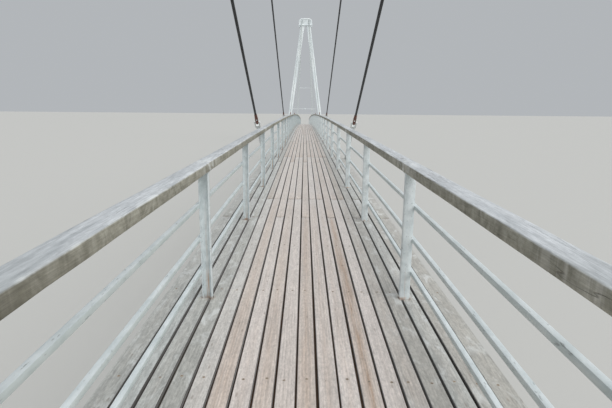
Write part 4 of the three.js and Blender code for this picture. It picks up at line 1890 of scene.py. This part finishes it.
    def head(self, end: End) -> None:
        """Makes one head: cheeks outside the legs, a collar, sunk panels and pockets for the stays.

        Args:
            end: Its end of the bridge.
        """
        y, half = end.value * LINE.half_span, self.head_depth / 2
        bottom = LINE.end_height + self.head_bottom
        ledge = bottom + self.collar_height
        throat = self.head_width / 2 - self.cheek
        reach, deep = self.head_width / 2 + self.collar_reach, half + self.collar_reach
        body = drawn(self.head_outline(0.0, bottom - self.cheek_drop), y - half, y + half, Along.Y)
        panel = self.head_outline(self.recess_border, ledge)
        tools = [
            ("DIFFERENCE", pad((0, y), (throat, 1), (bottom - 1, bottom), self.cut_arris)),
            ("UNION", pad((0, y), (reach, deep), (bottom, ledge), self.cut_arris)),
        ]
        for face in SIGNS:
            surface = y + face * half
            past = surface + face * self.cut_past
            low, high = sorted((surface - face * self.recess_depth, past))
            tools.append(("DIFFERENCE", drawn(panel, low, high, Along.Y)))
            low, high = sorted((surface - face * (self.recess_depth + self.pocket_depth), past))
            z0, z1 = (LINE.end_height + height for height in self.pocket_heights)
            for side in Side:
                x, w = side.value * self.pocket_x, self.pocket_width / 2
                tools.append(("DIFFERENCE", block((x - w, low, z0), (x + w, high, z1), self.cut_arris)))
        form = self.worked(body, tools)
        depth = half - np.abs(form.points[:, 1] - y)
        above = form.points[:, 2] > ledge + self.edge_round
        piece = Piece(
            "pylon_head_steel", "pylon_head", end.label, Slot.PYLON_PAINT, self.finishes.pylon_paint,
        )
        # Points deep in the sunk panels are marked for the paint's painted shade there.
        piece.add(form, sunk=np.where(above & (depth > self.recess_depth * self.sunk_share), 1.0, 0.0))
        nut = hexagon_nut(*self.collar_bolt)
        x, count = self.collar_bolts
        for face in SIGNS:
            for place in np.linspace(-x, x, count):
                start = np.array([place, y + face * deep, bottom + self.collar_height / 2])
                piece.add(nut.laid(facing(Along.Y, face), start))
        piece.make(self.sharp)

    def tie(self, end: End) -> None:
        """Makes the thin bar between a pylon's legs, with its knob and end flanges.

        Args:
            end: Its end of the bridge.
        """
        high = self.tie_height + self.tie_radius
        half = self.centre(high) - self.half_width(high) - self.bearing_gap
        r, k, (wide, flat, slope) = self.tie_radius, self.knob_radius, self.tie_flange
        first = math.asin(r / k)
        angles = [first + (math.pi - 2 * first) * i / self.knob_steps for i in range(self.knob_steps + 1)]
        knob = [(k * math.sin(angle), -k * math.cos(angle)) for angle in angles]
        flange = [(wide, -half), (wide, -half + flat), (r, -half + slope)]
        profile = [*flange, *knob, *((radius, -place) for radius, place in reversed(flange))]
        axes = np.array([[0, -1, 0], [1, 0, 0], [0, 0, 1]], float)
        start = np.array([0, end.value * LINE.half_span, LINE.end_height + self.tie_height])
        piece = Piece("portal_tie_bar", "portal_tie", end.label, Slot.PYLON_PAINT, self.finishes.pylon_paint)
        piece.add(turned(profile, 20).laid(axes, start))
        piece.make()

    def footing_block(self, side: Side, end: End) -> None:
        """Makes the concrete footing under one leg.

        Args:
            side: The leg's side.
            end: The leg's end of the bridge.
        """
        width, length, height = self.footing
        centre = (side.value * self.centre(height - LINE.end_height), end.value * LINE.half_span)
        tag = f"{end.label}_{side.label}"
        piece = Piece("footing_block", "footing", tag, Slot.CONCRETE, self.finishes.concrete)
        piece.add(pad(centre, (width / 2, length / 2), (0.0, height), self.footing_arris))
        piece.make()

    def build(self) -> None:
        """Makes both pylons and their footings."""
        for end in End:
            for side in Side:
                self.leg(side, end)
                self.footing_block(side, end)
            self.head(end)
            self.tie(end)


# Stays.


@dataclass(frozen=True)
class Run:
    """A straight line from a foot up to a head, for a bar that stops just short of both."""

    foot: np.ndarray
    top: np.ndarray
    foot_radius: float
    top_radius: float
    gap: float = GAP

    @property
    def direction(self) -> np.ndarray:
        """The direction from foot to head."""
        way = self.top - self.foot
        return way / np.linalg.norm(way)

    @property
    def low(self) -> float:
        """How far the bar's lower end is from the foot."""
        return self.setback(self.foot_radius, Along.Z)

    @property
    def length(self) -> float:
        """The bar's length."""
        return float(np.linalg.norm(self.top - self.foot)) - self.low - self.setback(self.top_radius, Along.Y)

    def setback(self, radius: float, normal: Along) -> float:
        """How far along the line a flat round end stays back from a plane across an axis."""
        along = abs(self.direction[normal.value])
        return (self.gap + radius * math.sqrt(1 - along * along)) / along

    def laid(self, *forms: Form) -> list[Form]:
        """Puts forms on the line.

        Args:
            forms: The forms, along +Y from the bar's lower end.

        Returns:
            The forms in their places.
        """
        way = self.direction
        level = np.array([way[1], -way[0], 0.0])
        level /= np.linalg.norm(level)
        axes = np.array([level, way, np.cross(level, way)])
        return [form.laid(axes, self.foot + way * self.low) for form in forms]


@dataclass
class Stays:
    """Four stays on each side of each pylon: anchor tube, fork, turnbuckle, strand and socket."""

    finishes: Finishes
    rows: tuple[Span, ...] = ((7.5, 18.15), (22.5, 18.25), (37.5, 18.345), (52.5, 18.44))
    head_x: float = 0.62
    deck_x: float = 1.204
    floor_y: float = 0.4
    radius: float = 0.025
    rings: int = 9
    fork_height: float = 1.09
    tube: float = 0.045
    tube_foot: Span = (0.96, 0.006)
    tube_cap: tuple[Span, ...] = ((1.0, -0.02), (1.12, -0.015), (1.12, 0.0))
    fork_width: float = 0.13
    fork_gap: float = 0.081
    fork_thickness: float = 0.05
    fork_length: float = 0.3
    fork_crown: float = 0.08
    fork_arris: float = 0.004
    cheek_share: float = 0.8
    tip_steps: int = 8
    pin_radius: float = 0.012
    pin_proud: float = 0.004
    pin_setback: float = 0.05
    pin_nut: Span = (0.034, 0.014)
    buckle_radius: float = 0.036
    buckle_setback: float = 0.1
    buckle_length: float = 0.35
    buckle_eye: tuple[Span, ...] = ((0.6, 0.0), (0.9, 0.01), (0.9, 0.06), (0.55, 0.075))
    low_boss: tuple[Span, ...] = ((0.8, 0.07), (1.0, 0.08), (1.0, 0.14), (0.8, 0.15))
    high_boss: tuple[Span, ...] = ((0.8, -0.08), (1.0, -0.07), (1.0, -0.01), (0.75, 0.0))
    buckle_bar: Span = (0.008, 0.013)
    bar_arris: float = 0.003
    bar_ends: Span = (0.1, 0.02)
    rod: tuple[Span, ...] = ((0.7, 0.1), (0.7, 0.3))
    swage: tuple[Span, ...] = ((1.15, -0.02), (1.35, 0.0), (1.35, 0.12), (1.0, 0.16))
    strand_start: float = 0.05
    socket_radius: float = 0.04
    socket_length: float = 0.2
    socket_shoulder: float = 0.85
    taper: float = 0.04

    def cheek(self, crown: float, tip: float) -> Form:
        """One cheek of the fork, rounded at its tip, on the +X side.

        Args:
            crown: Where it starts.
            tip: Where it ends.

        Returns:
            The cheek.
        """
        half = self.fork_thickness / 2
        outline = [(crown, -half)]
        for step in range(self.tip_steps + 1):
            angle = math.radians(-90 + 180 * step / self.tip_steps)
            outline.append((tip - half + half * math.cos(angle), half * math.sin(angle)))
        outline.append((crown, half))
        return drawn(np.array(outline), self.fork_gap / 2, self.fork_width / 2, Along.X)

    def fork(self, tip: float) -> list[Form]:
        """The anchor tube with its cap, and the fork on top with its pin and nuts.

        Args:
            tip: Where the fork ends.

        Returns:
            The forms along +Y.
        """
        crown, pin_y = tip - self.fork_length, tip - self.pin_setback
        outer, half = self.fork_width / 2, self.fork_thickness / 2
        share, bevel = self.tube_foot
        tube = turned([(self.tube * share, 0), (self.tube, bevel), (self.tube, crown + 0.01)], 16)
        base = block((-outer, crown, -half), (outer, crown + self.fork_crown, half), self.fork_arris)
        right = self.cheek(crown + self.fork_crown * self.cheek_share, tip)
        left = Form(right.points * np.array([-1, 1, 1]), [face[::-1] for face in right.faces])
        cap = stepped(self.tube, crown, self.tube_cap, 16)
        across = np.array([[0, 0, 1], [1, 0, 0], [0, 1, 0]], float)
        reach = outer + self.pin_proud
        pin = turned([(self.pin_radius, -reach), (self.pin_radius, reach)], 10)
        nut = hexagon_nut(*self.pin_nut)
        nuts = [nut.laid(facing(Along.X, out), np.array([out * outer, pin_y, 0])) for out in SIGNS]
        return [tube, base, right, left, cap, pin.laid(across, np.array([0, pin_y, 0])), *nuts]

    def turnbuckle(self, start: float) -> list[Form]:
        """The turnbuckle's eye, its side bars and bosses, and the strand's swaged end.

        Args:
            start: Where it starts.

        Returns:
            The forms along +Y.
        """
        r, (thin, deep), (near, far) = self.buckle_radius, self.buckle_bar, self.bar_ends
        stop = start + self.buckle_length
        bars = [
            block((x - thin, start + near, -deep), (x + thin, stop - far, deep), self.bar_arris)
            for x in (thin - r, r - thin)
        ]
        eye, low = (stepped(r, start, profile) for profile in (self.buckle_eye, self.low_boss))
        return [eye, low, stepped(r, stop, self.high_boss), *bars, stepped(self.radius, stop, self.swage)]

    def stay(self, side: Side, end: End, number: int) -> None:
        """Makes one stay.

        Args:
            side: Its side.
            end: Its end of the bridge.
            number: Its number, from the pylon to the middle.
        """
        reach, height = self.rows[number - 1]
        y = end.value * (LINE.half_span - reach)
        top_y = end.value * (LINE.half_span - self.floor_y)
        foot = np.array([side.value * self.deck_x, y, LINE.under(y)])
        top = np.array([side.value * self.head_x, top_y, LINE.end_height + height])
        run = Run(foot, top, self.tube, self.socket_radius)
        tip = (self.fork_height - LINE.frame_top) / run.direction[2] - run.low
        buckle = tip - self.buckle_setback
        neck = run.length - self.socket_length
        f, tag = self.finishes, f"{end.label}_{side.label}_{number}"
        piece = Piece("stay_rigging", "stay", tag, Slot.STAY_CABLE, f.anchor_paint, f.turnbuckle, f.strand)
        shoulder = self.socket_radius * self.socket_shoulder
        socket = turned([
            (self.radius, neck - self.taper * 2), (shoulder, neck - self.taper),
            (self.socket_radius, neck), (self.socket_radius, run.length),
        ], 12)
        piece.add(*run.laid(*self.fork(tip), stepped(self.radius, buckle, self.rod, 10), socket))
        piece.add(*run.laid(*self.turnbuckle(buckle)), finish=1)
        places = np.linspace(buckle + self.buckle_length + self.strand_start, neck, self.rings)
        strand = turned([(self.radius, place) for place in places], 12)
        x, reach, z = strand.points.T
        sine, cosine = z / self.radius, x / self.radius
        piece.add(*run.laid(strand), finish=2, turn_sine=sine, turn_cosine=cosine, reach=reach)
        piece.make()

    def build(self) -> None:
        """Makes all the stays."""
        for end, side in CORNERS:
            for number in range(1, len(self.rows) + 1):
                self.stay(side, end, number)


@dataclass
class Backstays:
    """Steel tubes with drawn-in ends from the heads down to the anchor blocks."""

    finishes: Finishes
    head_x: float = 0.62
    anchor: Point = (1.93, 80.0, 1.2)
    height: float = 18.14
    floor_y: float = 0.4
    radius: float = 0.06
    end_radius: float = 0.04
    end_length: float = 0.25
    taper: float = 0.25
    coupling_spacing: float = 6.0
    coupling_clear: float = 2.0
    coupling: tuple[Span, ...] = ((0.0, -0.11), (0.008, -0.1), (0.008, 0.1), (0.0, 0.11))
    spreader_share: float = 0.465
    spreader_radius: float = 0.032
    spreader_flange: Point = (2.2, 0.03, 0.028)
    base_gap: float = 0.001
    base_plate: Point = (0.44, 0.6, 0.025)
    plate_arris: float = 0.004
    base_bolt: Span = (0.05, 0.04)
    bolt_x: float = 0.16
    bolt_y: tuple[float, ...] = (-0.23, 0.0, 0.23)
    gusset: tuple[Span, ...] = ((-0.14, 0.024), (0.14, 0.024), (0.2, 0.3), (0.12, 0.3))
    gusset_x: float = 0.05
    gusset_half: float = 0.008

    def tube(self, length: float) -> list[Form]:
        """The tube with its drawn-in ends, and its couplings.

        Args:
            length: Its length.

        Returns:
            The forms along +Y.
        """
        full = self.end_length + self.taper
        half = [(self.end_radius, 0.0), (self.end_radius, self.end_length), (self.radius, full)]
        other = [(radius, length - place) for radius, place in reversed(half)]
        forms = [turned([*half, (self.radius, length / 2), *other], 20)]
        for place in np.arange(self.coupling_spacing, length - self.coupling_clear, self.coupling_spacing):
            forms.append(turned([(self.radius + proud, place + along) for proud, along in self.coupling], 20))
        return forms

    def spreader(self, side: Side, hub: np.ndarray) -> Form:
        """Half of the bar that holds a pair of backstays apart, with its flange at the middle.

        Args:
            side: The backstay's side.
            hub: Where the bar meets the backstay's centre line.

        Returns:
            The half bar.
        """
        r, reach, (share, neck, rim) = self.spreader_radius, abs(hub[0]) - GAP / 2, self.spreader_flange
        bar = turned([(r, 0.0), (r, reach - neck), (r * share, reach - rim), (r * share, reach)], 14)
        inwards = np.array([[0, side.value, 0], [-side.value, 0, 0], [0, 0, 1]], float)
        return bar.laid(inwards, hub)

    def base(self, foot: np.ndarray, lean: int) -> list[Form]:
        """The plate on the anchor block, with its bolts and gussets.

        Args:
            foot: The plate's middle on the block.
            lean: Which way along Y the backstay leans.

        Returns:
            The forms.
        """
        x, y, z = foot
        wide, long, thick = self.base_plate
        low = z + self.base_gap
        top = low + thick
        nut = hexagon_nut(*self.base_bolt)
        forms = [pad((x, y), (wide / 2, long / 2), (low, top), self.plate_arris)]
        forms += [nut.moved(x + i * self.bolt_x, y + dy, top) for i in SIGNS for dy in self.bolt_y]
        outline = np.array([(y + lean * dy, z + dz) for dy, dz in self.gusset])
        for i in SIGNS:
            middle = x + i * self.gusset_x
            forms.append(drawn(outline, middle - self.gusset_half, middle + self.gusset_half, Along.X))
        return forms

    def build(self) -> None:
        """Makes the four backstays."""
        x, y, z = self.anchor
        for end, side in CORNERS:
            top_y = end.value * (LINE.half_span + self.floor_y)
            foot = np.array([side.value * x, end.value * y, z])
            top = np.array([side.value * self.head_x, top_y, LINE.end_height + self.height])
            run = Run(foot, top, self.end_radius, self.end_radius)
            f, tag = self.finishes, f"{end.label}_{side.label}"
            piece = Piece("backstay_tube", "backstay", tag, Slot.PYLON_PAINT, f.pylon_paint, f.anchor_paint)
            piece.add(*run.laid(*self.tube(run.length)))
            piece.add(self.spreader(side, foot + (top - foot) * self.spreader_share))
            piece.add(*self.base(foot, -end.value), finish=1)
            piece.make()


# Concrete on the banks.


@dataclass
class BankConcrete:
    """Abutments under the deck's ends, and the blocks that hold the backstays."""

    finishes: Finishes
    width: float = 3.0
    front: float = 0.45
    back: float = 2.0
    gap: float = GAP
    girder_depth: float = 0.3
    chamfer: float = 0.02
    anchor_y: float = 80.0
    anchor_block: Point = (4.8, 2.4, 1.2)
    anchor_arris: float = 0.025

    def abutment(self, end: End) -> Form:
        """One abutment: a ledge under the girders and a wall behind the deck's end.

        Args:
            end: Its end of the bridge.

        Returns:
            The abutment.
        """
        seat = LINE.under(LINE.half_deck) - self.girder_depth - self.gap
        wall = LINE.half_deck + self.gap
        start, stop = LINE.half_span - self.front, LINE.half_span + self.back
        top, c, half = LINE.end_height, self.chamfer, self.width / 2
        side = np.array([
            (start, 0), (stop, 0), (stop, top - c), (stop - c, top), (wall + c / 2, top),
            (wall, top - c / 2), (wall, seat), (start + c, seat), (start, seat - c),
        ])
        side[:, 0] *= end.value
        centre = np.array([end.value * (start + stop) / 2, top / 2])
        reach = side - centre
        shrunk = centre + reach * (1 - c / np.abs(reach).clip(min=c * 2))
        shrunk[:, 1] = np.where(side[:, 1] == 0, 0.0, shrunk[:, 1])
        rings = ((-half, shrunk), (-half + c, side), (half - c, side), (half, shrunk))
        return loft([np.insert(outline, 0, x, axis=1) for x, outline in rings])

    def build(self) -> None:
        """Makes the abutments and the anchor blocks."""
        width, length, height = self.anchor_block
        for end in End:
            centre = (0.0, end.value * self.anchor_y)
            anchor = pad(centre, (width / 2, length / 2), (0.0, height), self.anchor_arris)
            forms = {
                ("abutment_wall", "abutment"): self.abutment(end),
                ("anchor_block_cast", "anchor_block"): anchor,
            }
            for names, form in forms.items():
                piece = Piece(*names, end.label, Slot.CONCRETE, self.finishes.concrete)
                piece.add(form)
                piece.make()


# Studio.


@dataclass
class Studio:
    """A pale floor, soft light and the photograph's view."""

    focal_pixels: float = 451.9
    eye: Point = (-0.0222, -30.945, 5.292)
    pitch: float = 11.414
    yaw: float = 0.255
    roll: float = 0.487
    clips: Span = (0.005, 200.0)
    floor_size: float = 3000.0
    floor_colour: Colour = tint(190, 190, 187)
    floor_rough: float = 0.9
    sky_colour: Colour = (0.86, 0.9, 0.94, 1.0)
    sky_strength: float = 0.52
    lamp_energy: float = 2.65
    lamp_spread: float = 75.0
    lamp_from: Point = (0.42, -0.54, 0.75)
    lamp_colour: Point = (1.0, 0.985, 0.96)

    def camera(self) -> None:
        """Sets the camera at the photograph's view."""
        data = bpy.data.cameras.new("photo_view")
        data.sensor_width = SENSOR_WIDTH
        data.lens = self.focal_pixels / PHOTO_WIDTH * SENSOR_WIDTH
        data.clip_start, data.clip_end = self.clips
        camera = bpy.data.objects.new("photo_view", data)
        turn = (
            Matrix.Rotation(math.radians(-self.yaw), 4, "Z")
            @ Matrix.Rotation(math.radians(90 - self.pitch), 4, "X")
            @ Matrix.Rotation(math.radians(self.roll), 4, "Z")
        )
        camera.matrix_world = Matrix.Translation([value * SCALE for value in self.eye]) @ turn
        bpy.context.scene.collection.objects.link(camera)
        bpy.context.scene.camera = camera
        bpy.context.scene.view_settings.view_transform = "Standard"

    def floor(self) -> None:
        """Lays the pale floor."""
        half = self.floor_size * SCALE
        mesh = bpy.data.meshes.new("studio_floor")
        corners = [(-half, -half, 0), (half, -half, 0), (half, half, 0), (-half, half, 0)]
        mesh.from_pydata(corners, [], [(0, 1, 2, 3)])
        r = Recipe("studio_floor")
        r.shader.inputs["Base Color"].default_value = self.floor_colour
        r.shader.inputs["Roughness"].default_value = self.floor_rough
        mesh.materials.append(r.material)
        floor = bpy.data.objects.new("studio_floor", mesh)
        bpy.context.scene.collection.objects.link(floor)

    def light(self) -> None:
        """Sets a soft sky and one broad light from above, the right and behind the camera."""
        world = bpy.data.worlds.new("studio_sky")
        world.use_nodes = True
        background = world.node_tree.nodes["Background"]
        background.inputs["Color"].default_value = self.sky_colour
        background.inputs["Strength"].default_value = self.sky_strength
        bpy.context.scene.world = world
        lamp = bpy.data.lights.new("broad_light", "SUN")
        lamp.energy = self.lamp_energy
        lamp.angle = math.radians(self.lamp_spread)
        lamp.color = self.lamp_colour
        thing = bpy.data.objects.new("broad_light", lamp)
        thing.rotation_euler = Vector(self.lamp_from).to_track_quat("Z", "Y").to_euler()
        bpy.context.scene.collection.objects.link(thing)

    def build(self) -> None:
        """Sets up the studio."""
        self.camera()
        self.floor()
        self.light()


def main() -> None:
    """Builds the studio and the bridge's sub-assemblies."""
    logging.basicConfig(level=logging.INFO, format="%(name)s: %(message)s")
    Studio().build()
    finishes = Finishes()
    for assembly in (Walkway, DeckFrame, Railings, Handrails, Pylons, Stays, Backstays, BankConcrete):
        assembly(finishes).build()


if __name__ == "__main__":
    main()
